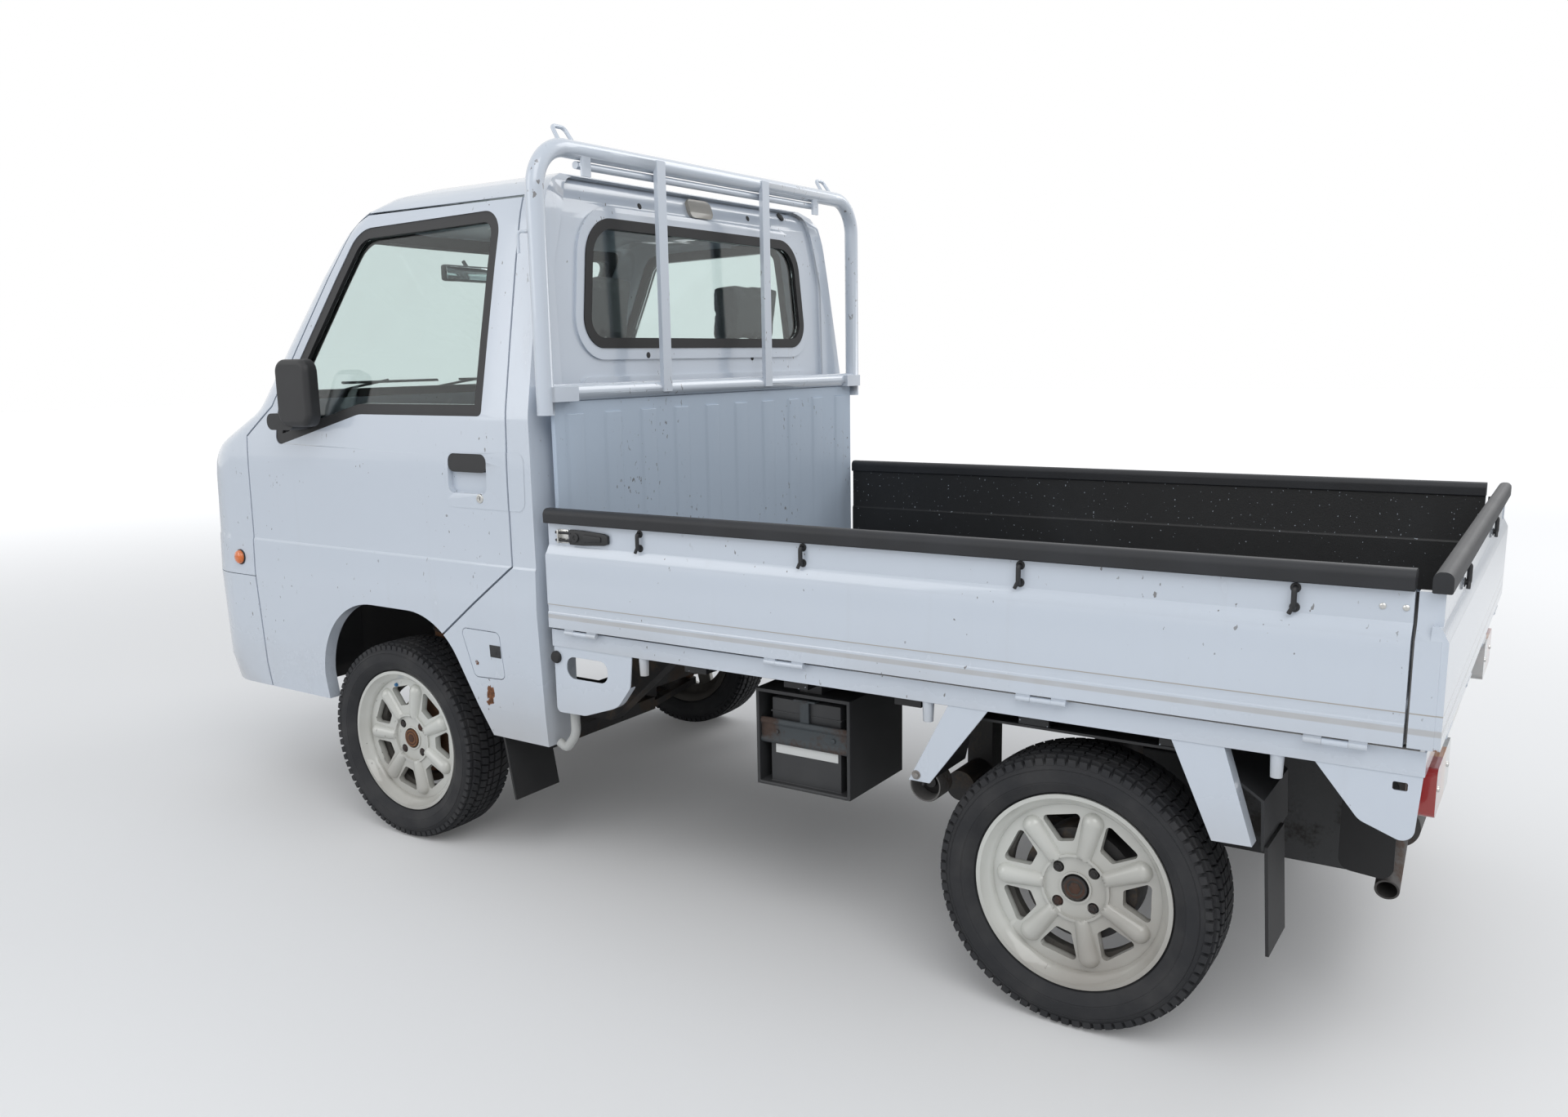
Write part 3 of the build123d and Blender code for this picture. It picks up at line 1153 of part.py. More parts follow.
def make_wire_hook():
    """The small wire hook on the guard's left post, open downwards."""
    post = GUARD_OUTER_Y - GUARD_TUBE_RADIUS
    side = GUARD_OUTER_Y + 6.0
    front = GUARD_X + GUARD_TUBE_RADIUS + 12.0
    path = FilletPolyline((GUARD_X + 4, post + 6, 1571), (front, side, 1571), (front, side, 1523), radius=9.0)
    return sweep(Plane(origin=path @ 0, z_dir=path % 0) * Circle(WIRE_HOOK_RADIUS), path=path)


def make_guard_loop():
    """The small bent rod that stands on the left end of the guard's top tube."""
    y = 580.0
    corners = [
        (GUARD_X + 8, y + 26, GUARD_TOP_Z - 14), (GUARD_X + 40, y + 20, GUARD_TOP_Z + 34),
        (GUARD_X + 40, y - 20, GUARD_TOP_Z + 34), (GUARD_X + 8, y - 26, GUARD_TOP_Z - 14),
    ]
    path = FilletPolyline(*corners, radius=12.0)
    return sweep(Plane(origin=corners[0], z_dir=path % 0) * Circle(5.0), path=path)


def make_tail_panel():
    """The painted panel under the tail, with the number plate's holes."""
    x1 = TAIL_X + TAIL_SILL_INSET + 22
    top = SILL_BOTTOM_Z - SEAT_GAP
    section = [(x1 - 3, 500), (x1 + 25, 490), (x1 + 25, 497), (x1, 506), (x1, top), (x1 - 3, top)]
    panel = from_side(outline(section), -640, 640)
    for y in (PLATE_HOLES / 2, -PLATE_HOLES / 2):
        panel = panel - rod((x1 - 30, y, PLATE_Z), (x1 + 60, y, PLATE_Z), PLATE_HOLE_RADIUS)
    return panel


def make_tail_lamps():
    """The two tail lamp bodies on the tail panel."""
    x1 = TAIL_X + TAIL_SILL_INSET + 19 - SEAT_GAP
    lamp = from_front(rounded_rect(400, 620, 515, 600, 14), x1 - TAIL_LAMP_DEPTH, x1)
    return both_sides(lamp)


def main():
    """Build every node and write it to its own file."""
    os.makedirs("parts", exist_ok=True)
    rim = make_rim()
    tyre = make_tyre()
    rear_depth = BACK_RIM_DEPTH - SEAL_PROUD
    nodes = {
        "cab_shell": make_cab_shell(),
        "front_bumper": make_bumper(),
        "headlamps": both_sides(make_headlamp()),
        "fuel_lid": make_lid(),
        "cab_glass": apart([
            window_pane(WINDSCREEN_LEVELS, CAB_FLOOR_BACK_X + 300.0, NOSE_X),
            window_pane(REAR_WINDOW_LEVELS, 100.0, CAB_FLOOR_BACK_X + 200.0),
        ]),
        "window_seals": apart([
            window_ring(WINDSCREEN_LEVELS, CAB_FLOOR_BACK_X + 300.0, NOSE_X, -SEAL_PROUD),
            window_ring(REAR_WINDOW_LEVELS, 100.0, CAB_FLOOR_BACK_X + 200.0, rear_depth),
        ]),
        "cab_floor": make_cab_floor(),
        "dashboard": make_dashboard(),
        "steering_column": make_steering_column(),
        "steering_wheel": make_steering_wheel(),
        "seats": both_sides(make_seat()),
        "chassis_frame": make_chassis(),
        "front_suspension": make_front_suspension(),
        "steering_rack": make_rack(),
        "rear_suspension": make_rear_suspension(),
        "engine_block": make_engine(),
        "muffler": make_muffler(),
        "battery": make_battery(),
        "fuel_tank": make_tank(),
        "bed_floor": make_bed_floor(),
        "headboard": make_headboard(),
        "guard_frame": make_guard_frame(),
        "wheel_stays": both_sides(apart(make_wheel_stays())),
        "front_liners": both_sides(make_front_liner()),
        "rear_liners": both_sides(make_rear_liner()),
        "mudflaps": both_sides(make_mudflaps()),
        "tail_panel": make_tail_panel(),
        "rear_lamps": apart([make_high_lamp(), make_tail_lamps()]),
        "tailgate": make_tailgate(),
        "tail_pad": make_tail_pad(),
    }
    left_nodes = {
        "door": make_door(),
        "door_trim": make_door_trim(),
        "door_glass": make_door_glass(),
        "mirror": make_mirror(),
        "side_gate": make_side_gate(),
        "gate_pad": make_side_pad(),
        "gate_latch": make_latch(),
        "knuckle": make_knuckle(),
        "wheel_front": on_left_hub(rim, FRONT_AXLE_X),
        "tyre_front": on_left_hub(tyre, FRONT_AXLE_X),
        "wheel_rear": on_left_hub(rim, REAR_AXLE_X),
        "tyre_rear": on_left_hub(tyre, REAR_AXLE_X),
    }
    for name, shape in left_nodes.items():
        nodes[name + "_left"] = shape
        nodes[name + "_right"] = right_of(shape)
    for name, shape in nodes.items():
        bounds = shape.bounding_box()
        print(name, len(shape.solids()), round(shape.volume / 1e6, 3), bounds.size)
        export_step(shape, "parts/" + name + ".step")


main()
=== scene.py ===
"""Looks of the kei truck: smooth body panels, wheels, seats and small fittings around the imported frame."""

import json
import logging
import math
from dataclasses import dataclass, field
from enum import Enum
from typing import Sequence

import bmesh
import bpy
from mathutils import Matrix, Vector
from mathutils.bvhtree import BVHTree

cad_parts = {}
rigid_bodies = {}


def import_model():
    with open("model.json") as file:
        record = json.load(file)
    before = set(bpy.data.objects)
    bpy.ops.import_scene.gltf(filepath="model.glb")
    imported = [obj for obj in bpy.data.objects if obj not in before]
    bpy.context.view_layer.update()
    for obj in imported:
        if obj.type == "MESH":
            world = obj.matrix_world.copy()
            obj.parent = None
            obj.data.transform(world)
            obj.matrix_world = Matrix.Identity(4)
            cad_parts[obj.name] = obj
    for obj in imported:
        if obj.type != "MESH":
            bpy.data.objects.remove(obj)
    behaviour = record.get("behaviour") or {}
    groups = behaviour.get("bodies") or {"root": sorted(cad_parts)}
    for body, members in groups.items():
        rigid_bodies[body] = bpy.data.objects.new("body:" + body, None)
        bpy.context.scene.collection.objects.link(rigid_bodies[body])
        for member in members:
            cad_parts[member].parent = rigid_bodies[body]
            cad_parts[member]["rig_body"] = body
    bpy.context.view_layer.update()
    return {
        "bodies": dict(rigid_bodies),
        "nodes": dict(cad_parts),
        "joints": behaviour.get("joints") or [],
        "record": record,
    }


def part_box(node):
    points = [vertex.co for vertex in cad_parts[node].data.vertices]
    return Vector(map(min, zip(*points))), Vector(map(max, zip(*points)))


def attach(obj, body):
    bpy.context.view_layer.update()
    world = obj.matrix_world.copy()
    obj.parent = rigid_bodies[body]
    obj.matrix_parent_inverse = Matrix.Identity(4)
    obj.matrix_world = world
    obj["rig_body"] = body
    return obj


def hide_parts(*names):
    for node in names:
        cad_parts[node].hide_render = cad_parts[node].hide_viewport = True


LOG = logging.getLogger("truck")

Rgb = tuple[float, float, float]
Point = tuple[float, float, float]
Spot = tuple[float, float]
Outline = tuple[Spot, ...]


class Side(Enum):
    """The truck's two sides, with the sign of their Y."""

    LEFT = 1
    RIGHT = -1

    @property
    def word(self) -> str:
        """The side's name as it ends a node's name."""
        return self.name.lower()


class Level(Enum):
    """How far an edge may turn before it stays sharp."""

    SOFT = math.radians(38)
    FIRM = math.radians(32)
    CRISP = math.radians(20)


class Signal:
    """A shader socket that writes Math nodes when it is used in an expression."""

    def __init__(self, graph: "Tree", socket: bpy.types.NodeSocket) -> None:
        """Wrap a socket of a tree."""
        self.graph = graph
        self.socket = socket

    def _math(self, operation: str, first: "Signal | float", second: "Signal | float") -> "Signal":
        """One Math node on two values."""
        return self.graph.make("ShaderNodeMath", {"operation": operation}, {0: first, 1: second})

    def __add__(self, other: "Signal | float") -> "Signal":
        """Sum."""
        return self._math("ADD", self, other)

    def __radd__(self, other: "Signal | float") -> "Signal":
        """Sum with a number first."""
        return self._math("ADD", other, self)

    def __sub__(self, other: "Signal | float") -> "Signal":
        """Difference."""
        return self._math("SUBTRACT", self, other)

    def __rsub__(self, other: "Signal | float") -> "Signal":
        """Difference from a number."""
        return self._math("SUBTRACT", other, self)

    def __mul__(self, other: "Signal | float") -> "Signal":
        """Product."""
        return self._math("MULTIPLY", self, other)

    def __rmul__(self, other: "Signal | float") -> "Signal":
        """Product with a number first."""
        return self._math("MULTIPLY", other, self)

    def __abs__(self) -> "Signal":
        """Size without sign."""
        return self._math("ABSOLUTE", self, 0.0)

    def either(self, other: "Signal") -> "Signal":
        """The larger of two masks."""
        return self._math("MAXIMUM", self, other)

    def fade(self, low: float, high: float) -> "Signal":
        """Zero below one value and one above another, with a smooth step between.

        Args:
            low: The value at which the result is zero.
            high: The value at which the result is one; lower than low to fade out.

        Returns:
            The smooth mask.
        """
        if low > high:
            return 1 - self.fade(high, low)
        settings = {"interpolation_type": "SMOOTHSTEP"}
        inputs = {"Value": self, "From Min": low, "From Max": high}
        return self.graph.make("ShaderNodeMapRange", settings, inputs)

    def over(self, level: float, soft: float) -> "Signal":
        """One above a level, with a soft edge."""
        return self.fade(level - soft, level + soft)

    def under(self, level: float, soft: float) -> "Signal":
        """One below a level, with a soft edge."""
        return self.fade(level + soft, level - soft)

    def between(self, low: float, high: float, soft: float) -> "Signal":
        """One between two levels, with soft edges."""
        return self.over(low, soft) * self.under(high, soft)


def shade(colour: Rgb, share: float) -> Rgb:
    """A colour made darker."""
    return tuple(share * part for part in colour)


class Tree:
    """A node tree of any kind, written through one method."""

    def __init__(self, tree: bpy.types.NodeTree) -> None:
        """Start with an empty tree."""
        self.tree = tree
        self.tree.nodes.clear()

    def make(self, kind: str, settings: dict, inputs: dict, output: int | str = 0) -> Signal:
        """Add any node.

        Args:
            kind: The node's type name.
            settings: Its own properties.
            inputs: Values or signals by socket name or number.
            output: The socket to return.

        Returns:
            The chosen output as a signal.
        """
        node = self.tree.nodes.new(kind)
        for key, value in settings.items():
            setattr(node, key, value)
        for key, value in inputs.items():
            if isinstance(value, Signal):
                self.tree.links.new(value.socket, node.inputs[key])
            else:
                node.inputs[key].default_value = value
        return Signal(self, node.outputs[output])

    def end(self, kind: str, result: Signal) -> None:
        """Link a result to the tree's output node."""
        self.tree.links.new(result.socket, self.tree.nodes.new(kind).inputs[0])


class Graph(Tree):
    """A material's node tree, read in the object's own coordinates."""

    def __init__(self, name: str) -> None:
        """Start an empty material.

        Args:
            name: The material's name.
        """
        self.material = bpy.data.materials.new(name)
        self.material.use_nodes = True
        super().__init__(self.material.node_tree)
        self.coords = self.make("ShaderNodeTexCoord", {}, {}, "Object")

    def noise(
        self, scale: float, detail: float = 3.0, stretch: Point = (1, 1, 1), rough: float = 0.5
    ) -> Signal:
        """Fractal noise in the object's space.

        Args:
            scale: Waves per metre.
            detail: Octaves.
            stretch: Factors on the three axes.
            rough: How strong the finer octaves are.

        Returns:
            A value about 0.5.
        """
        place = self.make("ShaderNodeMapping", {}, {"Vector": self.coords, "Scale": stretch})
        inputs = {"Vector": place, "Scale": scale, "Detail": detail, "Roughness": rough}
        return self.make("ShaderNodeTexNoise", {}, inputs)

    def wave(self, direction: str, scale: float) -> Signal:
        """Even bands across an axis."""
        inputs = {"Vector": self.coords, "Scale": scale}
        return self.make("ShaderNodeTexWave", {"bands_direction": direction}, inputs)

    def axis(self, index: int) -> Signal:
        """One of the object's own coordinates."""
        return self.make("ShaderNodeSeparateXYZ", {}, {0: self.coords}, index)

    def facing(self, index: int) -> Signal:
        """One component of the surface's direction."""
        normal = self.make("ShaderNodeNewGeometry", {}, {}, "Normal")
        return self.make("ShaderNodeSeparateXYZ", {}, {0: normal}, index)

    def spot(self, centre: Point, radius: float) -> Signal:
        """One at a point, falling to zero at a radius.

        Args:
            centre: The point, in metres.
            radius: Where the mask ends.

        Returns:
            The mask.
        """
        inputs = {0: self.coords, 1: centre}
        away = self.make("ShaderNodeVectorMath", {"operation": "DISTANCE"}, inputs, "Value")
        return away.fade(radius, 0.15 * radius)

    def mix(self, factor: Signal | float, first: Signal | Rgb, second: Signal | Rgb) -> Signal:
        """Blend two colours."""
        inputs = {0: factor, 6: self._colour(first), 7: self._colour(second)}
        return self.make("ShaderNodeMix", {"data_type": "RGBA"}, inputs, 2)

    @staticmethod
    def _colour(value: Signal | Rgb) -> Signal | tuple:
        """Give a plain colour its alpha."""
        return value if isinstance(value, Signal) else (*value, 1.0)

    def bump(self, height: Signal, distance: float) -> Signal:
        """A normal from a height in metres times distance."""
        return self.make("ShaderNodeBump", {}, {"Height": height, "Distance": distance, "Strength": 1.0})

    def surface(self, values: dict) -> bpy.types.Material:
        """Finish with a Principled shader.

        Args:
            values: Values or signals by the shader's socket names.

        Returns:
            The finished material.
        """
        plain = {k: self._colour(v) if isinstance(v, tuple) and len(v) == 3 else v for k, v in values.items()}
        self.end("ShaderNodeOutputMaterial", self.make("ShaderNodeBsdfPrincipled", {}, plain))
        return self.material


@dataclass(frozen=True)
class Finish:
    """A named surface finish; its material is made once."""

    name: str

    def material(self) -> bpy.types.Material:
        """The finish's material, made at its first use."""
        found = bpy.data.materials.get(self.name)
        return found if found else self.build(Graph(self.name))

    def build(self, graph: Graph) -> bpy.types.Material:
        """Make the nodes."""
        raise NotImplementedError


@dataclass(frozen=True)
class Enamel(Finish):
    """Old gloss paint with road film, streaks, chips, rust spots and painted shade.

    Attributes:
        spots: Places of rust, as (centre, radius).
        bands: Dark lines of painted shade along creases round the truck, as (low, high, share of film
            colour).
        liner_inside: Half the width of the black bed coating, or 0 for none; on the bed the black also covers
            the underside, as painted shade under the truck.
        liner_tail: The coating's rearmost X.
        liner_ledge: Half the black's width above liner_low, where it reaches further out; there it darkens
            the sill in the gap under the gates as painted shade.
        liner_low: The height of that ledge.
        liner_edge: Half the blur of the coating's edges.
        dust_inside: The distance from the truck's middle inside which the wheel behind its disc is darkened
            as painted shade, or 0 for none.
    """

    # White paint darkened and tinted blue as it looks in shade under the sky: painted shade.
    colour: Rgb = (0.57, 0.625, 0.70)
    film: Rgb = (0.36, 0.33, 0.29)
    rust: Rgb = (0.21, 0.08, 0.03)
    chip: Rgb = (0.12, 0.105, 0.095)
    gloss: float = 0.22
    film_top: float = 0.60
    film_low: float = 0.30
    film_share: float = 0.26
    chip_share: float = 0.70
    spots: tuple[tuple[Point, float], ...] = ()
    bands: tuple[tuple[float, float, float], ...] = ()
    liner: Rgb = (0.011, 0.0115, 0.0125)
    liner_inside: float = 0.0
    liner_tail: float = -9.0
    liner_ledge: float = 0.0
    liner_low: float = 0.0
    liner_edge: float = 0.0004
    coat: float = 0.9
    dust_inside: float = 0.0

    def _dirt(self, graph: Graph, broad: Signal) -> Signal:
        """Road film heavier low down and in faint runs below edges, and painted shade lines in the bands.

        Args:
            graph: The material's nodes.
            broad: Slow noise that varies it.

        Returns:
            The share of film and painted shade.
        """
        streak = graph.noise(18, 3, (1, 1, 0.07))
        low = graph.axis(2).fade(self.film_top, self.film_low)
        film = low * broad.fade(0.3, 0.75) * 2 * self.film_share + streak.fade(0.58, 0.85) * 0.10
        # Painted shade: dark lines along creases, drawn in the film colour.
        for under, over, share in self.bands:
            film = film + graph.axis(2).between(under, over, 0.0012) * (streak * 0.3 + share)
        return film

    def _rusty(self, graph: Graph, fine: Signal) -> Signal | float:
        """A ragged mask of rust in the named places.

        Args:
            graph: The material's nodes.
            fine: Fine noise that frays it.

        Returns:
            The mask, or 0 where no spots are named.
        """
        near: Signal | float = 0.0
        for centre, radius in self.spots:
            near = graph.spot(centre, radius) + near
        if not isinstance(near, Signal):
            return 0.0
        ragged = graph.noise(55, 5, (1, 1, 0.7), 0.65)
        return (near * 0.55 + ragged * 1.5 + fine * 0.3).fade(1.33, 1.42) * near.fade(0.02, 0.2)

    def build(self, graph: Graph) -> bpy.types.Material:
        """Paint, then film with painted shade lines, chips and rust, painted shade inside the wheels, and bed
        liner on the inner faces, whose black also paints shade under the bed.

        Args:
            graph: The material's nodes.

        Returns:
            The material.
        """
        broad = graph.noise(2.3, 4)
        fine = graph.noise(46, 3)
        film = self._dirt(graph, broad)
        tone = graph.mix(broad.fade(0.35, 0.7) * 0.3, self.colour, shade(self.colour, 0.94))
        colour = graph.mix(film, tone, self.film)
        chips = graph.noise(95, 2, (1, 1, 0.55)).fade(self.chip_share, self.chip_share + 0.02)
        chips = chips * graph.noise(4, 2).fade(0.50, 0.62)
        rusty = self._rusty(graph, fine)
        colour = graph.mix(chips * 0.8, colour, self.chip)
        rough = film * 0.6 + fine * 0.05 + self.gloss
        bump = broad * 0.15 - chips * 0.02
        coat: Signal | float = self.coat
        if isinstance(rusty, Signal):
            deep = shade(self.rust, 0.35)
            colour = graph.mix(rusty, colour, graph.mix(graph.noise(90, 3).fade(0.35, 0.65), self.rust, deep))
            rough = rough + rusty * 0.5
            coat = self.coat - rusty * self.coat
            bump = bump + rusty * fine * 0.3
        # Painted shade: inside the wheel, behind its disc, the colour turns dark and the surface rougher and
        # uncoated.
        if self.dust_inside > 0:
            inner = abs(graph.axis(1)).fade(self.dust_inside, self.dust_inside - 0.016)
            colour = graph.mix(inner * 0.86, colour, shade(self.film, 0.22))
            rough = rough + inner * 0.3
            coat = self.coat - inner * self.coat
        # Black bed coating on the inner faces; on the bed the same black also covers the underside and the
        # sill in the gap under the gates, which is painted shade.
        if self.liner_inside > 0:
            soft = self.liner_edge
            away = abs(graph.axis(1))
            ledge = away.under(self.liner_ledge, soft) * graph.axis(2).over(self.liner_low, soft)
            liner_and_shade = away.under(self.liner_inside, soft).either(ledge)
            liner_and_shade = liner_and_shade * graph.axis(0).over(self.liner_tail, soft)
            speck = graph.noise(170, 0).fade(0.80, 0.82)
            dust = graph.noise(5, 5, (1, 1, 0.4)).fade(0.5, 0.9) * 0.022
            colour = graph.mix(liner_and_shade, colour, graph.mix(speck * 0.6 + dust, self.liner, self.colour))
            rough = rough * (1 - liner_and_shade) + (fine * 0.15 + 0.42) * liner_and_shade
            coat = (1 - liner_and_shade) * self.coat
            bump = bump + liner_and_shade * graph.noise(330, 2) * 0.25
        values = {
            "Base Color": colour,
            "Roughness": rough,
            "Coat Weight": coat,
            "Coat Roughness": 0.06,
            "Normal": graph.bump(bump, 0.001),
        }
        return graph.surface(values)


@dataclass(frozen=True)
class Moulded(Finish):
    """Plastic or rubber with grain, lighter in faded, dusty patches and on upward faces, where the lightening
    is partly fading and dust and partly a painted sheen.
    """

    colour: Rgb = (0.02, 0.021, 0.023)
    fade: Rgb = (0.075, 0.078, 0.082)
    roughness: float = 0.55
    grain: float = 900.0
    depth: float = 0.00018
    dust: float = 0.25

    def build(self, graph: Graph) -> bpy.types.Material:
        """Grain, faded and dusty patches, and upward faces lighter, partly as a painted sheen.

        Args:
            graph: The material's nodes.

        Returns:
            The material.
        """
        broad = graph.noise(9, 4)
        grain = graph.noise(self.grain, 2)
        # Upward faces are mixed towards the lighter colour: partly fading and dust, partly a painted sheen.
        up = graph.facing(2).fade(0.1, 0.9)
        worn = (broad.fade(0.35, 0.75) * 0.6 + up * 0.5) * self.dust
        colour = graph.mix(worn, self.colour, self.fade)
        rough = self.roughness + broad * 0.12
        bump = graph.bump(grain, self.depth)
        return graph.surface({"Base Color": colour, "Roughness": rough, "Normal": bump})


@dataclass(frozen=True)
class Metal(Finish):
    """Bare or coated metal with rust or grime in patches."""

    colour: Rgb = (0.05, 0.048, 0.046)
    patch: Rgb = (0.11, 0.065, 0.04)
    metallic: float = 0.3
    roughness: float = 0.6
    share: float = 0.6
    depth: float = 0.0006

    def build(self, graph: Graph) -> bpy.types.Material:
        """A scaly coat with rusty patches.

        Args:
            graph: The material's nodes.

        Returns:
            The material.
        """
        broad = graph.noise(11, 5)
        fine = graph.noise(140, 3)
        patch = (broad + fine * 0.25).fade(0.78 - 0.3 * self.share, 0.95 - 0.3 * self.share)
        colour = graph.mix(patch, self.colour, graph.mix(fine, self.patch, shade(self.patch, 0.5)))
        values = {
            "Base Color": colour,
            "Metallic": (1 - patch) * self.metallic,
            "Roughness": self.roughness + patch * 0.25,
            "Normal": graph.bump(fine + broad * 2, self.depth),
        }
        return graph.surface(values)


@dataclass(frozen=True)
class Pane(Finish):
    """Clear or tinted glass with a little dust."""

    colour: Rgb = (0.78, 0.86, 0.85)
    roughness: float = 0.01
    dust: float = 0.05

    def build(self, graph: Graph) -> bpy.types.Material:
        """Glass that a thin film of dust dulls in patches.

        Args:
            graph: The material's nodes.

        Returns:
            The material.
        """
        film = graph.noise(6, 4).fade(0.4, 0.8) * self.dust
        values = {
            "Base Color": graph.mix(film, self.colour, (0.6, 0.6, 0.58)),
            "Roughness": film * 0.8 + self.roughness,
            "IOR": 1.45,
            "Transmission Weight": 1.0,
        }
        return graph.surface(values)


@dataclass(frozen=True)
class Lens(Finish):
    """Ribbed lamp plastic in coloured zones.

    Attributes:
        zones: Other colours by place, as (axis, low, high, colour); an axis of 1 counts both sides alike.
        zone_edge: Half the blur between two zones.
    """

    colour: Rgb = (0.45, 0.015, 0.012)
    ribs: float = 160.0
    glow: float = 0.25
    zones: tuple[tuple[int, float, float, Rgb], ...] = ()
    zone_edge: float = 0.0005

    def build(self, graph: Graph) -> bpy.types.Material:
        """Clear-coated colour over fine ribs.

        Args:
            graph: The material's nodes.

        Returns:
            The material.
        """
        wave = graph.wave("Y", self.ribs)
        tone = graph.noise(14, 3)
        colour = graph.mix(tone * 0.3, self.colour, shade(self.colour, 0.6))
        for index, low, high, other in self.zones:
            colour = graph.mix(abs(graph.axis(index)).between(low, high, self.zone_edge), colour, other)
        values = {
            "Base Color": colour,
            "Roughness": tone * 0.1 + 0.12,
            "Transmission Weight": self.glow,
            "Coat Weight": 1.0,
            "Normal": graph.bump(wave, 0.0004),
        }
        return graph.surface(values)


@dataclass(frozen=True)
class Weave(Finish):
    """Woven seat cloth, darker and lighter threads at thread scale."""

    colour: Rgb = (0.055, 0.058, 0.065)
    thread: Rgb = (0.12, 0.125, 0.135)
    pitch: float = 420.0

    def build(self, graph: Graph) -> bpy.types.Material:
        """Two crossed waves for the weave and soft worn patches.

        Args:
            graph: The material's nodes.

        Returns:
            The material.
        """
        cloth = graph.wave("Y", self.pitch) * graph.wave("Z", self.pitch)
        worn = graph.noise(8, 4)
        colour = graph.mix(cloth.fade(0.1, 0.8) * 0.8 + worn * 0.2, self.colour, self.thread)
        values = {
            "Base Color": colour,
            "Roughness": 0.85 + worn * 0.1,
            "Sheen Weight": 0.3,
            "Normal": graph.bump(cloth, 0.0006),
        }
        return graph.surface(values)


@dataclass(frozen=True)
class Rubber(Finish):
    """Tyre rubber, greyer and browner where the road's dust holds."""

    colour: Rgb = (0.011, 0.012, 0.015)
    dust: Rgb = (0.085, 0.082, 0.08)

    def build(self, graph: Graph) -> bpy.types.Material:
        """Dusty rubber with a fine grain.

        Args:
            graph: The material's nodes.

        Returns:
            The material.
        """
        broad = graph.noise(13, 4)
        fine = graph.noise(700, 2)
        dusty = broad.fade(0.35, 0.8) * 0.30 + 0.04
        colour = graph.mix(dusty, self.colour, self.dust)
        rough = 0.72 + broad * 0.15
        return graph.surface({"Base Color": colour, "Roughness": rough, "Normal": graph.bump(fine, 0.0004)})


@dataclass(frozen=True)
class Mirror(Finish):
    """Silvered glass."""

    colour: Rgb = (0.75, 0.78, 0.8)

    def build(self, graph: Graph) -> bpy.types.Material:
        """Bright metal with a little dust."""
        film = graph.noise(20, 3).fade(0.4, 0.9) * 0.15
        return graph.surface({"Base Color": self.colour, "Metallic": 1.0, "Roughness": film + 0.03})


BODY_PAINT = Enamel(
    "body_paint",
    spots=(
        ((0.402, 0.722, 0.452), 0.040),
        ((0.395, 0.722, 0.480), 0.028),
        ((0.436, 0.728, 0.545), 0.016),
    ),
)
# Its bands are painted shade along the gate's creases.
GATE_PAINT = Enamel(
    "gate_paint", liner_inside=0.7065, liner_tail=-1.6735, film_top=0.74, film_low=0.62, film_share=0.2,
    bands=((0.6885, 0.6985, 0.30), (0.7212, 0.7228, 1.1)), spots=(((-1.6925, 0.735, 0.664), 0.016),),
)
# Its black reaches the bed's underside and the sill under the gates as painted shade.
BED_PAINT = Enamel(
    "bed_paint", liner_inside=0.7, liner_ledge=0.7155, liner_low=0.636, liner_tail=-1.668, film_top=0.66,
    film_low=0.55, film_share=0.34,
    spots=(((0.112, 0.737, 0.640), 0.030), ((0.088, 0.737, 0.628), 0.022), ((-1.675, 0.735, 0.62), 0.030)),
)
BOARD_PAINT = Enamel("board_paint", colour=(0.44, 0.52, 0.62), chip_share=0.66, gloss=0.45, coat=0.15)
GUARD_PAINT = Enamel("guard_paint", chip_share=0.66, gloss=0.28)
# dust_inside darkens the wheel's barrel behind its disc as painted shade.
WHEEL_PAINT = Enamel(
    "wheel_paint", colour=(0.59, 0.60, 0.565), film=(0.20, 0.165, 0.135), film_top=0.62, film_low=0.15,
    film_share=0.34, gloss=0.33, chip_share=0.70, dust_inside=0.648,
)
CHASSIS = Metal(
    "chassis_paint", colour=(0.022, 0.021, 0.021), patch=(0.10, 0.075, 0.055), metallic=0.1, share=0.55,
)
RUSTY = Metal("rusty_steel", colour=(0.16, 0.09, 0.055), patch=(0.22, 0.10, 0.045), metallic=0.35, share=0.9)
STEEL = Metal("bare_metal", colour=(0.30, 0.29, 0.28), patch=(0.16, 0.10, 0.06), metallic=0.85, share=0.35)
ALLOY = Metal(
    "cast_alloy", colour=(0.075, 0.076, 0.078), patch=(0.035, 0.031, 0.028), metallic=0.5, share=0.45,
)
EXHAUST = Metal(
    "exhaust_skin", colour=(0.085, 0.08, 0.078), patch=(0.10, 0.06, 0.042), metallic=0.5, share=0.6,
)
FLOOR = Moulded("floor_paint", colour=(0.03, 0.03, 0.031), fade=(0.07, 0.066, 0.06), roughness=0.7, grain=500)
CASE = Moulded("battery_case", colour=(0.028, 0.029, 0.031), fade=(0.10, 0.10, 0.10), roughness=0.5)
BLACK_TRIM = Moulded("black_trim", colour=(0.016, 0.0165, 0.018), fade=(0.06, 0.062, 0.066), roughness=0.48)
GREY_TRIM = Moulded(
    "grey_trim", colour=(0.07, 0.071, 0.074), fade=(0.12, 0.12, 0.122), roughness=0.62, grain=420,
)
SEAL = Moulded("seal_rubber", colour=(0.012, 0.012, 0.013), fade=(0.05, 0.05, 0.05), roughness=0.6, grain=300)
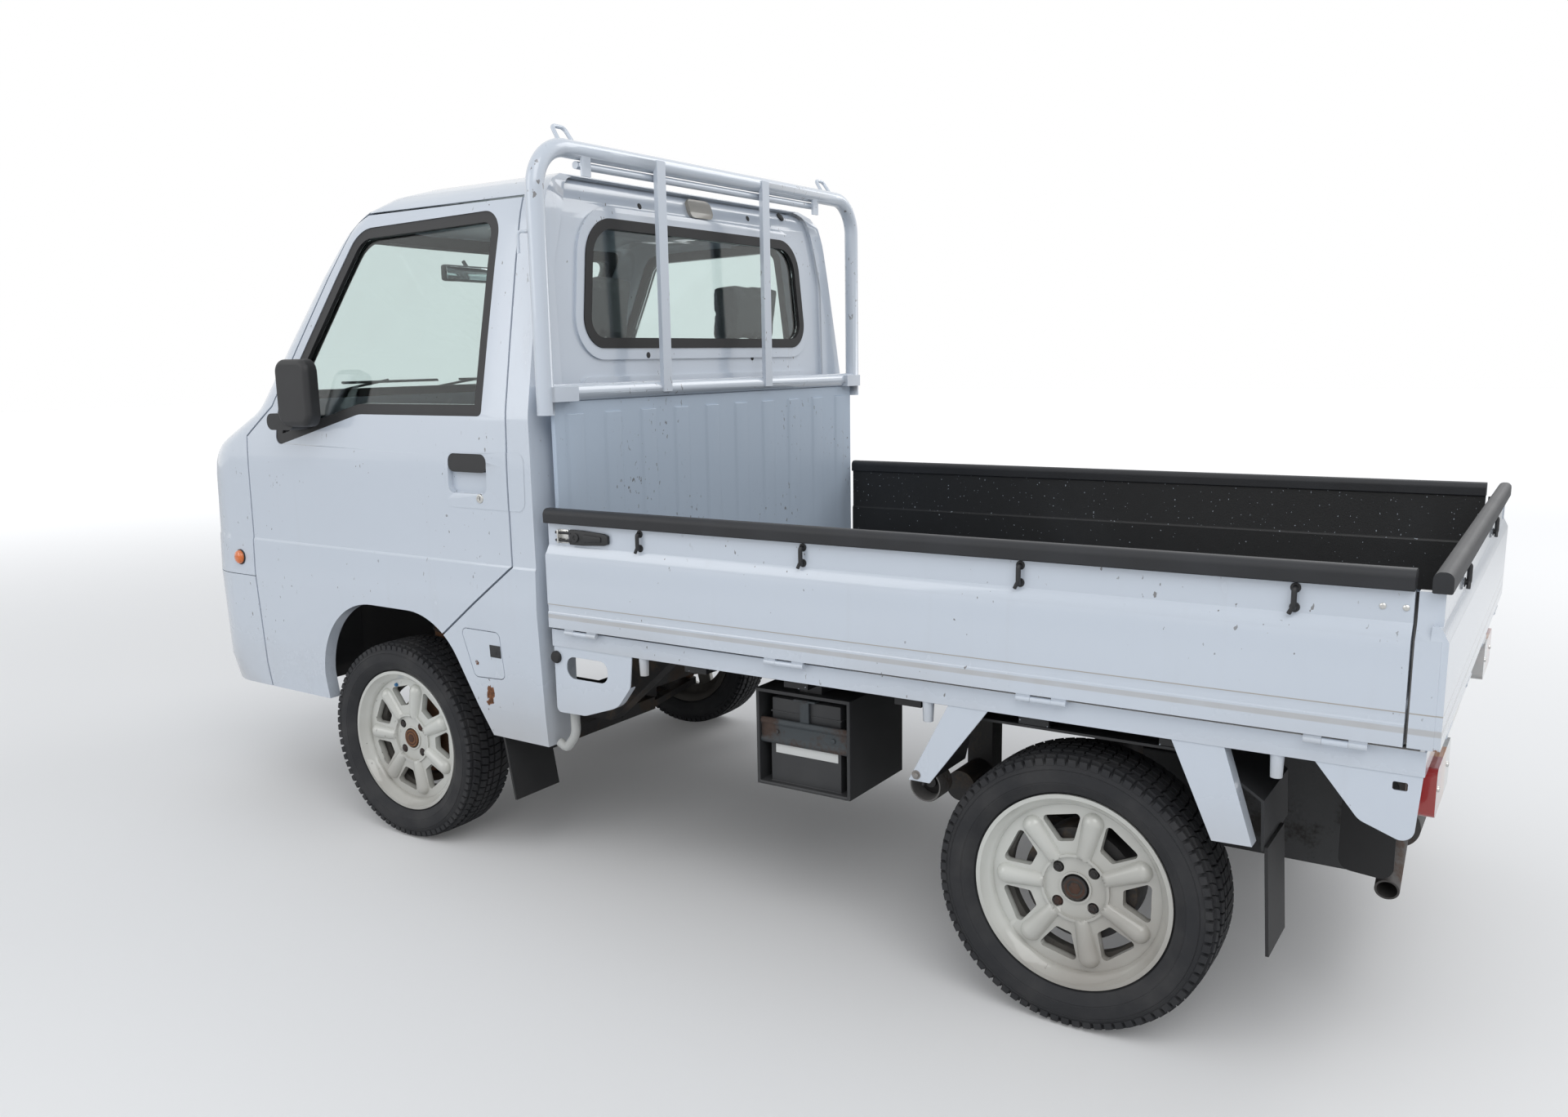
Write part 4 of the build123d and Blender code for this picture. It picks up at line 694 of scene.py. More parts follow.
# Its blue-grey lighter colour on upward faces is partly a painted sheen of the sky.
PAD = Moulded(
    "pad_rubber", colour=(0.010, 0.011, 0.0135), fade=(0.042, 0.046, 0.054), roughness=0.5, dust=0.35,
)
TYRE = Rubber("tyre_side")
CLOTH = Weave("seat_cloth")
GLASS = Pane("clear_pane")
MIRROR_FACE = Mirror("mirror_face")
LAMP_CLEAR = Lens(
    "lamp_clear", colour=(0.93, 0.95, 0.96), ribs=26.0, glow=0.92,
    zones=((1, 0.648, 0.69, (0.75, 0.22, 0.02)),),
)
LAMP_RED = Lens(
    "lamp_red_lens",
    zones=((1, 0.475, 0.540, (0.62, 0.22, 0.03)), (1, 0.39, 0.475, (0.60, 0.60, 0.58)),
           (2, 1.6, 1.75, (0.46, 0.43, 0.37))),
)
LAMP_AMBER = Lens("lamp_amber", colour=(0.80, 0.17, 0.012), ribs=120.0, glow=0.05)
BLUE_CAP = Moulded("blue_cap", colour=(0.02, 0.13, 0.30), fade=(0.05, 0.2, 0.4), roughness=0.4)
CHROME = Mirror("reflector_chrome")
BRIGHT = Metal(
    "bright_metal", colour=(0.62, 0.62, 0.60), patch=(0.30, 0.26, 0.22), metallic=0.9, roughness=0.3,
    share=0.2,
)
NUT = Metal(
    "rusty_nut", colour=(0.035, 0.033, 0.033), patch=(0.075, 0.036, 0.026), metallic=0.4, roughness=0.65,
    share=0.7,
)
HUB = Metal(
    "rusty_hub", colour=(0.045, 0.038, 0.035), patch=(0.095, 0.048, 0.032), metallic=0.4, roughness=0.7,
    share=0.8,
)
BAR = Metal(
    "bar_steel", colour=(0.055, 0.064, 0.070), patch=(0.075, 0.047, 0.036), metallic=0.3, roughness=0.6,
    share=0.7,
)
BUSH = Metal(
    "bush_steel", colour=(0.16, 0.155, 0.15), patch=(0.10, 0.07, 0.05), metallic=0.4, roughness=0.6,
    share=0.6,
)
SPRING = Metal(
    "spring_wire", colour=(0.035, 0.033, 0.032), patch=(0.12, 0.07, 0.045), metallic=0.2, share=0.6,
)
PIPE = Moulded("pale_pipe", colour=(0.44, 0.45, 0.44), fade=(0.30, 0.28, 0.25), roughness=0.5, grain=300)
PLATE = Enamel("blank_plate", colour=(0.72, 0.71, 0.62), gloss=0.35)
WHITE_LABEL = Moulded(
    "white_label", colour=(0.62, 0.63, 0.62), fade=(0.5, 0.49, 0.46), roughness=0.5, grain=200,
)


@dataclass(frozen=True)
class Dress:
    """How one kind of CAD node is shown."""

    slot: str
    finish: Finish
    level: Level = Level.FIRM
    bevel: float = 0.0


DRESSES: dict[str, Dress] = {
    "cab_shell": Dress("white_paint", BODY_PAINT, Level.SOFT),
    "front_bumper": Dress("white_paint", BODY_PAINT, Level.SOFT),
    "fuel_lid": Dress("white_paint", BODY_PAINT, Level.SOFT),
    "door": Dress("white_paint", BODY_PAINT, Level.SOFT),
    "headlamps": Dress("lamp_glass", LAMP_CLEAR),
    "cab_glass": Dress("window_glass", GLASS),
    "door_glass": Dress("window_glass", GLASS),
    "window_seals": Dress("black_rubber", SEAL),
    "rear_lamps": Dress("lamp_red", LAMP_RED),
    "cab_floor": Dress("grey_floor", FLOOR),
    "dashboard": Dress("grey_plastic", GREY_TRIM, bevel=0.004),
    "steering_column": Dress("grey_plastic", GREY_TRIM),
    "steering_wheel": Dress("black_plastic", BLACK_TRIM),
    "chassis_frame": Dress("chassis_black", CHASSIS, bevel=0.003),
    "front_suspension": Dress("chassis_black", CHASSIS, bevel=0.002),
    "rear_suspension": Dress("chassis_black", CHASSIS, bevel=0.002),
    "steering_rack": Dress("bare_steel", STEEL),
    "knuckle": Dress("bare_steel", RUSTY),
    "engine_block": Dress("engine_alloy", ALLOY, bevel=0.005),
    "muffler": Dress("exhaust_steel", EXHAUST, bevel=0.003),
    "battery": Dress("battery_grey", CASE, bevel=0.0015),
    "fuel_tank": Dress("chassis_black", CHASSIS, bevel=0.003),
    "bed_floor": Dress("white_paint", BED_PAINT, bevel=0.0015),
    "headboard": Dress("white_paint", BOARD_PAINT, bevel=0.0015),
    "guard_frame": Dress("white_paint", GUARD_PAINT),
    "wheel_stays": Dress("white_paint", BODY_PAINT, bevel=0.001),
    "front_liners": Dress("black_plastic", BLACK_TRIM),
    "rear_liners": Dress("black_plastic", BLACK_TRIM),
    "mudflaps": Dress("black_rubber", SEAL, bevel=0.001),
    "tail_panel": Dress("white_paint", BODY_PAINT),
    "tailgate": Dress("white_paint", GATE_PAINT, bevel=0.0015),
    "tail_pad": Dress("black_rubber", PAD),
    "door_trim": Dress("black_plastic", BLACK_TRIM),
    "mirror": Dress("black_plastic", BLACK_TRIM),
    "side_gate": Dress("white_paint", GATE_PAINT),
    "gate_pad": Dress("black_rubber", PAD),
    "wheel_front": Dress("wheel_cream", WHEEL_PAINT),
    "wheel_rear": Dress("wheel_cream", WHEEL_PAINT),
}
OWN_FORM = ("tyre_", "gate_latch_", "seats")


def dress_of(node: str) -> Dress:
    """The dress of a node, found by its name without its side.

    Args:
        node: The CAD node's name.

    Returns:
        How it is shown.
    """
    for side in Side:
        if node.endswith("_" + side.word):
            return DRESSES[node[: -len(side.word) - 1]]
    return DRESSES[node]


def link(obj: bpy.types.Object) -> bpy.types.Object:
    """Put an object into the scene's collection."""
    bpy.context.scene.collection.objects.link(obj)
    return obj


def soften(data: bpy.types.Mesh, level: Level) -> None:
    """Smooth shading, broken where faces meet at more than an angle."""
    data.shade_smooth()
    data.set_sharp_from_angle(angle=level.value)


def join(whole: bmesh.types.BMesh, part: bmesh.types.BMesh) -> None:
    """Add a part to a mesh, and free it.

    Args:
        whole: The mesh that grows.
        part: The mesh that is added.
    """
    data = bpy.data.meshes.new("part")
    part.to_mesh(data)
    part.free()
    whole.from_mesh(data)
    bpy.data.meshes.remove(data)


def skin(mesh: bmesh.types.BMesh, rings: Sequence[Sequence[bmesh.types.BMVert]]) -> None:
    """Faces between each ring of corners and the next; corners that coincide are taken once.

    Args:
        mesh: The mesh that the rings are in.
        rings: Rings with equal numbers of corners.
    """
    for here, there in zip(rings, rings[1:]):
        for index in range(len(here)):
            after = (index + 1) % len(here)
            corners = list(dict.fromkeys((here[index], here[after], there[after], there[index])))
            if len(corners) > 2:
                mesh.faces.new(corners)


def circle(count: int) -> list[Spot]:
    """Evenly spaced directions, as (cosine, sine)."""
    angles = [2 * math.pi * step / count for step in range(count)]
    return [(math.cos(angle), math.sin(angle)) for angle in angles]


def mesh_object(
    name: str, mesh: bmesh.types.BMesh, finish: Finish, level: Level = Level.FIRM
) -> bpy.types.Object:
    """Turn a bmesh into an object, its faces outward and its shading smooth below an angle.

    Args:
        name: The piece's name.
        mesh: The geometry in metres, in the truck's frame; it is freed.
        finish: Its material.
        level: The angle at which an edge becomes sharp.

    Returns:
        The linked object.
    """
    bmesh.ops.recalc_face_normals(mesh, faces=mesh.faces)
    data = bpy.data.meshes.new(name)
    mesh.to_mesh(data)
    mesh.free()
    data.materials.append(finish.material())
    soften(data, level)
    return link(bpy.data.objects.new(name, data))


def baked(obj: bpy.types.Object) -> bpy.types.Object:
    """Apply an object's modifiers, and drop them.

    Args:
        obj: The object.

    Returns:
        The same object.
    """
    bpy.context.view_layer.update()
    graph = bpy.context.evaluated_depsgraph_get()
    data = bpy.data.meshes.new_from_object(obj.evaluated_get(graph), depsgraph=graph)
    obj.modifiers.clear()
    obj.data = data
    return obj


class Recipe(Tree):
    """A Geometry Nodes tree with named inputs that makes one piece."""

    def __init__(self, name: str, kinds: dict[str, str]) -> None:
        """Start a tree whose inputs have the given kinds of socket.

        Args:
            name: The tree's name.
            kinds: Kinds of socket by the input's name.
        """
        super().__init__(bpy.data.node_groups.new(name, "GeometryNodeTree"))
        sockets = self.tree.interface
        sockets.new_socket("Geometry", in_out="INPUT", socket_type="NodeSocketGeometry")
        for key, kind in kinds.items():
            sockets.new_socket(key, in_out="INPUT", socket_type="NodeSocket" + kind)
        sockets.new_socket("Geometry", in_out="OUTPUT", socket_type="NodeSocketGeometry")
        self.inputs = {key: self.make("NodeGroupInput", {}, {}, key) for key in kinds}

    def bake(self, name: str, result: Signal, finish: Finish, values: dict[str, object]) -> bpy.types.Object:
        """Close the tree and turn what it makes into a plain mesh.

        Args:
            name: The piece's name.
            result: The tree's geometry.
            finish: The piece's material.
            values: The inputs' values by name.

        Returns:
            The piece.
        """
        real = self.make("GeometryNodeRealizeInstances", {}, {0: result})
        inputs = {"Geometry": real, "Material": finish.material()}
        self.end("NodeGroupOutput", self.make("GeometryNodeSetMaterial", {}, inputs))
        piece = link(bpy.data.objects.new(name, bpy.data.meshes.new(name)))
        modifier = piece.modifiers.new("recipe", "NODES")
        modifier.node_group = self.tree
        for item in self.tree.interface.items_tree:
            if item.in_out == "INPUT" and item.name in values:
                modifier[item.identifier] = values[item.name]
        return baked(piece)


@dataclass
class Dresser:
    """Smooth copies of the CAD nodes that stand for them in the picture."""

    frame: dict
    weld: float = 1e-5
    flat: float = math.radians(0.4)
    kept: dict[str, bpy.types.Object] = field(default_factory=dict)
    trees: dict[str, BVHTree] = field(default_factory=dict)

    def copy_of(self, node: str) -> bmesh.types.BMesh:
        """A node's mesh with its doubled corners merged and its flat faces whole.

        Args:
            node: The CAD node's name.

        Returns:
            The mesh.
        """
        mesh = bmesh.new()
        mesh.from_mesh(self.frame["nodes"][node].data)
        bmesh.ops.remove_doubles(mesh, verts=mesh.verts, dist=self.weld)
        bmesh.ops.dissolve_limit(
            mesh, angle_limit=self.flat, verts=mesh.verts, edges=mesh.edges, delimit={"NORMAL"}
        )
        return mesh

    def body_of(self, node: str) -> str:
        """The body that a node rides on."""
        return self.frame["nodes"][node]["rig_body"]

    def dress(self, node: str) -> bpy.types.Object:
        """Stand a smooth copy in a node's place.

        Args:
            node: The CAD node's name.

        Returns:
            The piece.
        """
        plan = dress_of(node)
        shown = mesh_object(node + "_skin", self.copy_of(node), plan.finish, plan.level)
        if plan.bevel > 0:
            rounding = shown.modifiers.new("rounding", "BEVEL")
            rounding.limit_method = "ANGLE"
            rounding.angle_limit = math.radians(50)
            rounding.width = plan.bevel
            rounding.segments = 2
            rounding.use_clamp_overlap = True
            baked(shown)
            soften(shown.data, Level.SOFT)
        leaning = shown.modifiers.new("leaning", "WEIGHTED_NORMAL")
        leaning.mode = "FACE_AREA"
        leaning.keep_sharp = True
        baked(shown)
        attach(shown, self.body_of(node))
        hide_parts(node)
        self.kept[node] = shown
        return shown

    def dress_all(self) -> None:
        """Dress every node that has no detailed piece of its own."""
        for node in sorted(self.frame["nodes"]):
            if not node.startswith(OWN_FORM):
                self.dress(node)

    def hit(self, node: str, start: Point, way: Point) -> tuple[Vector, Vector]:
        """Where a ray meets a node.

        Args:
            node: The CAD node.
            start: The ray's start, in metres.
            way: Its direction.

        Returns:
            The place and the surface's direction there, turned towards the start.

        Raises:
            ValueError: If the ray misses the node.
        """
        if node not in self.trees:
            data = self.frame["nodes"][node].data
            corners = [v.co.copy() for v in data.vertices]
            self.trees[node] = BVHTree.FromPolygons(corners, [tuple(p.vertices) for p in data.polygons])
        place, normal, _, _ = self.trees[node].ray_cast(Vector(start), Vector(way).normalized())
        if place is None:
            raise ValueError(f"a ray misses {node}")
        return place, normal if normal.dot(Vector(way)) < 0 else -normal

    def seat_on(self, node: str, start: Point, way: Point) -> Matrix:
        """A frame on a node's surface: Z outward, Y as near to up as it can be.

        Args:
            node: The CAD node's name.
            start: A ray's start, in metres.
            way: Its direction.

        Returns:
            The frame.
        """
        place, normal = self.hit(node, start, way)
        side = Vector((0, 0, 1)).cross(normal).normalized()
        rise = normal.cross(side)
        turn = Matrix((side, rise, normal)).transposed().to_4x4()
        return Matrix.Translation(place) @ turn


@dataclass
class Studio:
    """The photo's camera, a pale floor and soft light."""

    eye: Point = (-1.8474, 2.8032, 1.2803)
    yaw: float = -0.9905
    pitch: float = -0.1848
    roll: float = 0.0169
    focal_px: float = 1502.66
    centre_px: Spot = (959.76, 720.03)
    frame_px: tuple[int, int] = (1920, 1368)
    sensor_mm: float = 36.0
    floor_half: float = 40.0
    sky: float = 0.62
    sky_colour: Rgb = (0.93, 0.96, 1.0)
    white_rays: tuple[str, str, str] = ("Camera", "Glossy", "Transmission")
    floor_grey: float = 0.80
    floor_lift: float = 0.06
    far_lift: float = 0.5
    far_run: Spot = (2.5, 12.0)
    lamps: tuple[tuple[str, Point, Point, float, float], ...] = (
        ("key", (-4.0, 4.5, 6.0), (0, 0, 0.8), 190, 5.0),
        ("fill", (4.0, 6.0, 3.5), (0.3, 0, 0.8), 80, 4.0),
        ("back", (-3.0, -5.0, 5.0), (0, 0, 0.8), 130, 4.0),
    )

    def camera(self) -> None:
        """Stand the camera where the photo was taken."""
        level = math.cos(self.pitch)
        forward = Vector((math.cos(self.yaw) * level, math.sin(self.yaw) * level, math.sin(self.pitch)))
        right = forward.cross(Vector((0, 0, 1))).normalized()
        down = forward.cross(right)
        turned_right = math.cos(self.roll) * right + math.sin(self.roll) * down
        turned_down = -math.sin(self.roll) * right + math.cos(self.roll) * down
        axes = Matrix((turned_right, -turned_down, -forward)).transposed().to_4x4()
        data = bpy.data.cameras.new("photo_camera")
        data.sensor_width = self.sensor_mm
        data.lens = self.focal_px * self.sensor_mm / self.frame_px[0]
        data.shift_x = (self.frame_px[0] / 2 - self.centre_px[0]) / self.frame_px[0]
        data.shift_y = (self.centre_px[1] - self.frame_px[1] / 2) / self.frame_px[0]
        data.clip_end = 200
        obj = link(bpy.data.objects.new("photo_camera", data))
        obj.matrix_world = Matrix.Translation(self.eye) @ axes
        bpy.context.scene.camera = obj

    def floor(self) -> None:
        """A plain pale floor."""
        mesh = bmesh.new()
        bmesh.ops.create_grid(mesh, x_segments=1, y_segments=1, size=self.floor_half)
        data = bpy.data.meshes.new("floor")
        mesh.to_mesh(data)
        mesh.free()
        graph = Graph("studio_floor")
        seen = graph.make("ShaderNodeLightPath", {}, {}, "Is Camera Ray")
        away = graph.make("ShaderNodeVectorMath", {"operation": "LENGTH"}, {0: graph.coords}, "Value")
        values = {
            "Base Color": (self.floor_grey,) * 3,
            "Roughness": 0.9,
            "Emission Color": (1.0, 1.0, 1.0),
            "Emission Strength": seen * (away.fade(*self.far_run) * self.far_lift + self.floor_lift),
        }
        data.materials.append(graph.surface(values))
        link(bpy.data.objects.new("floor", data))

    def world(self) -> None:
        """White to the camera and in reflections, dimmer as light."""
        world = bpy.data.worlds.new("studio")
        bpy.context.scene.world = world
        world.use_nodes = True
        tree = Tree(world.node_tree)
        rays = [tree.make("ShaderNodeLightPath", {}, {}, f"Is {ray} Ray") for ray in self.white_rays]
        seen = rays[0].either(rays[1]).either(rays[2])
        lit = tree.make("ShaderNodeBackground", {}, {"Color": (*self.sky_colour, 1), "Strength": self.sky})
        white = tree.make("ShaderNodeBackground", {}, {"Color": (1, 1, 1, 1), "Strength": 1.0})
        tree.end("ShaderNodeOutputWorld", tree.make("ShaderNodeMixShader", {}, {0: seen, 1: lit, 2: white}))

    def light(self, name: str, place: Point, target: Point, power: float, size: float) -> None:
        """A soft square light aimed at a point.

        Args:
            name: The light's name.
            place: Where it stands.
            target: Where it points.
            power: Its power in watts.
            size: Its width in metres.
        """
        data = bpy.data.lights.new(name, "AREA")
        data.energy = power
        data.size = size
        obj = link(bpy.data.objects.new(name, data))
        obj.location = place
        obj.rotation_euler = (Vector(target) - Vector(place)).to_track_quat("-Z", "Y").to_euler()

    def build(self) -> None:
        """Set the whole studio up."""
        bpy.context.scene.view_settings.view_transform = "Standard"
        self.camera()
        self.floor()
        self.world()
        for lamp in self.lamps:
            self.light(*lamp)


@dataclass
class Tyre:
    """A tyre with grooves, a block tread and raised rings on its side wall."""

    radius: float = 0.2728
    base_radius: float = 0.2655
    half_width: float = 0.0775
    bead_radius: float = 0.1783
    lip_radius: float = 0.194
    rim_half: float = 0.062
    steps: int = 120
    pitches: int = 76
    gap: float = 0.0032
    lean: float = 0.35
    draw: float = 0.0007
    rows: Outline = (
        (-0.062, -0.038), (-0.032, -0.012), (-0.0065, 0.0065), (0.012, 0.032), (0.038, 0.062)
    )

    def profile(self) -> list[Spot]:
        """Half of the carcass's outer section from the crown to the bead: (radius, across).

        Returns:
            The corners.
        """
        half = self.half_width
        return [
            (self.base_radius, 0.0),
            (self.base_radius - 0.0004, half - 0.030),
            (self.base_radius - 0.002, half - 0.020),
            (self.base_radius - 0.006, half - 0.0105),
            (self.base_radius - 0.014, half - 0.0045),
            (self.base_radius - 0.019, half - 0.0016),
            (self.base_radius - 0.0205, half - 0.0024),
            (self.base_radius - 0.022, half - 0.0008),
            (self.lip_radius + 0.036, half),
            (self.lip_radius + 0.028, half - 0.0006),
            (self.lip_radius + 0.0265, half - 0.0018),
            (self.lip_radius + 0.025, half - 0.0014),
            (self.lip_radius + 0.014, half - 0.0068),
            (self.lip_radius + 0.0045, self.rim_half + 0.001),
            (self.lip_radius + 0.0035, self.rim_half - 0.0035),
            (self.lip_radius, self.rim_half - 0.0075),
            (self.bead_radius, self.rim_half - 0.016),
            (self.bead_radius, self.rim_half - 0.030),
        ]

    def inner(self) -> list[Spot]:
        """Half of the inner section from the bead to the crown.

        Returns:
            The corners.
        """
        half = self.half_width
        return [
            (self.bead_radius + 0.008, self.rim_half - 0.030),
            (self.lip_radius + 0.004, half - 0.024),
            (self.lip_radius + 0.030, half - 0.012),
            (self.base_radius - 0.022, half - 0.018),
            (self.base_radius - 0.010, half - 0.036),
        ]

    def carcass(self, centre: Vector) -> bmesh.types.BMesh:
        """Turn the section about the axle.

        Args:
            centre: The axle's middle, in metres.

        Returns:
            The mesh.
        """
        outer = self.profile()
        inside = self.inner()
        ring = [(r, -w) for r, w in reversed(outer)][:-1] + outer
        ring += inside + [(r, -w) for r, w in reversed(inside)]
        mesh = bmesh.new()
        rings = []
        for cosine, sine in circle(self.steps):
            turn = Vector((cosine, 0, sine))
            rings.append([mesh.verts.new(centre + turn * r + Vector((0, w, 0))) for r, w in ring])
        for step in range(self.steps):
            here, there = rings[step], rings[(step + 1) % self.steps]
            for index in range(len(ring)):
                after = (index + 1) % len(ring)
                mesh.faces.new((here[index], there[index], there[after], here[after]))
        return mesh

    def block(self, corners: Sequence[Spot], low: float, high: float) -> bmesh.types.BMesh:
        """One tread block from its outline (along, across) with slightly drawn-in sides.

        Args:
            corners: Its outline.
            low: Its foot's radius.
            high: Its top's radius.

        Returns:
            The mesh.
        """
        mesh = bmesh.new()
        middle = Vector((sum(c[0] for c in corners), sum(c[1] for c in corners))) / len(corners)
        base, top = [], []
        for along, across in corners:
            inward = (middle - Vector((along, across))).normalized() * self.draw
            base.append(mesh.verts.new((along, across, low)))
            top.append(mesh.verts.new((along + inward.x, across + inward.y, high)))
        mesh.faces.new(top)
        skin(mesh, (base, top))
        mesh.faces.new(list(reversed(base)))
        return mesh

    def pitch(self) -> bpy.types.Object:
        """One pitch of the tread, laid out flat at the tyre's radius.

        Returns:
            The piece, not linked to the scene.
        """
        length = 2 * math.pi * self.radius / self.pitches
        run = length - self.gap
        slant = self.lean * length
        merged = bmesh.new()
        for number, (near, far) in enumerate(self.rows):
            lean = slant * (number - 2) / 2
            edge = 0.0035 if number in (0, 4) else 0.0
            high = self.radius - (0.0016 if number in (0, 4) else 0.0)
            corners = [
                (-run / 2 - lean, near), (run / 2 - lean, near + edge),
                (run / 2 + lean * 0.2, far - edge), (-run / 2 + lean * 0.2, far),
            ]
            join(merged, self.block(corners, self.base_radius - 0.003, high))
        for side in (-1, 1):
            lug = [
                (-run / 2, side * 0.0640), (run / 2, side * 0.0640),
                (run / 2 - 0.002, side * 0.0725), (-run / 2 + 0.002, side * 0.0725),
            ]
            outline = lug if side > 0 else list(reversed(lug))
            join(merged, self.block(outline, self.base_radius - 0.012, self.radius - 0.0062))
        bmesh.ops.recalc_face_normals(merged, faces=merged.faces)
        data = bpy.data.meshes.new("tread_pitch")
        merged.to_mesh(data)
        merged.free()
        return bpy.data.objects.new("tread_pitch", data)

    def tread(self, name: str, centre: Vector) -> bpy.types.Object:
        """The tread's pitches set around the axle by Geometry Nodes.

        Args:
            name: The piece's name.
            centre: The axle's middle, in metres.

        Returns:
            The finished mesh object.
        """
        recipe = Recipe("ring_of_pieces", {"Count": "Int", "Piece": "Object"})
        count, piece = recipe.inputs["Count"], recipe.inputs["Piece"]
        index = recipe.make("GeometryNodeInputIndex", {}, {})
        share = recipe.make("ShaderNodeMath", {"operation": "DIVIDE"}, {0: index, 1: count})
        inputs = {
            "Points": recipe.make("GeometryNodePoints", {}, {"Count": count}),
            "Instance": recipe.make("GeometryNodeObjectInfo", {}, {"Object": piece}, "Geometry"),
            "Rotation": recipe.make("ShaderNodeCombineXYZ", {}, {"Y": share * (2 * math.pi)}),
        }
        ring = recipe.make("GeometryNodeInstanceOnPoints", {}, inputs)
        tread = recipe.bake(name, ring, TYRE, {"Count": self.pitches, "Piece": self.pitch()})
        tread.data.transform(Matrix.Translation(centre))
        soften(tread.data, Level.CRISP)
        return tread

    def build(self, dresser: Dresser, node: str) -> None:
        """Stand a tyre in a CAD tyre's place.

        Args:
            dresser: What knows the CAD nodes and their bodies.
            node: The CAD tyre.
        """
        low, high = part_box(node)
        centre = (low + high) / 2
        tyre = mesh_object(node + "_carcass", self.carcass(centre), TYRE, Level.CRISP)
        body = dresser.body_of(node)
        for piece in (tyre, self.tread(node + "_tread", centre)):
            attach(piece, body)
        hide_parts(node)


def face_y(y: float) -> Matrix:
    """A frame for the left side: across is X, up is Z, and height is +Y from a plane."""
    return Matrix(((1, 0, 0, 0), (0, 0, 1, y), (0, 1, 0, 0), (0, 0, 0, 1)))


def face_x(x: float, outward: int) -> Matrix:
    """A frame on a plane across the truck: across is Y, up is Z, and height runs forward or back."""
    return Matrix(((0, 0, outward, x), (1, 0, 0, 0), (0, 1, 0, 0), (0, 0, 0, 1)))


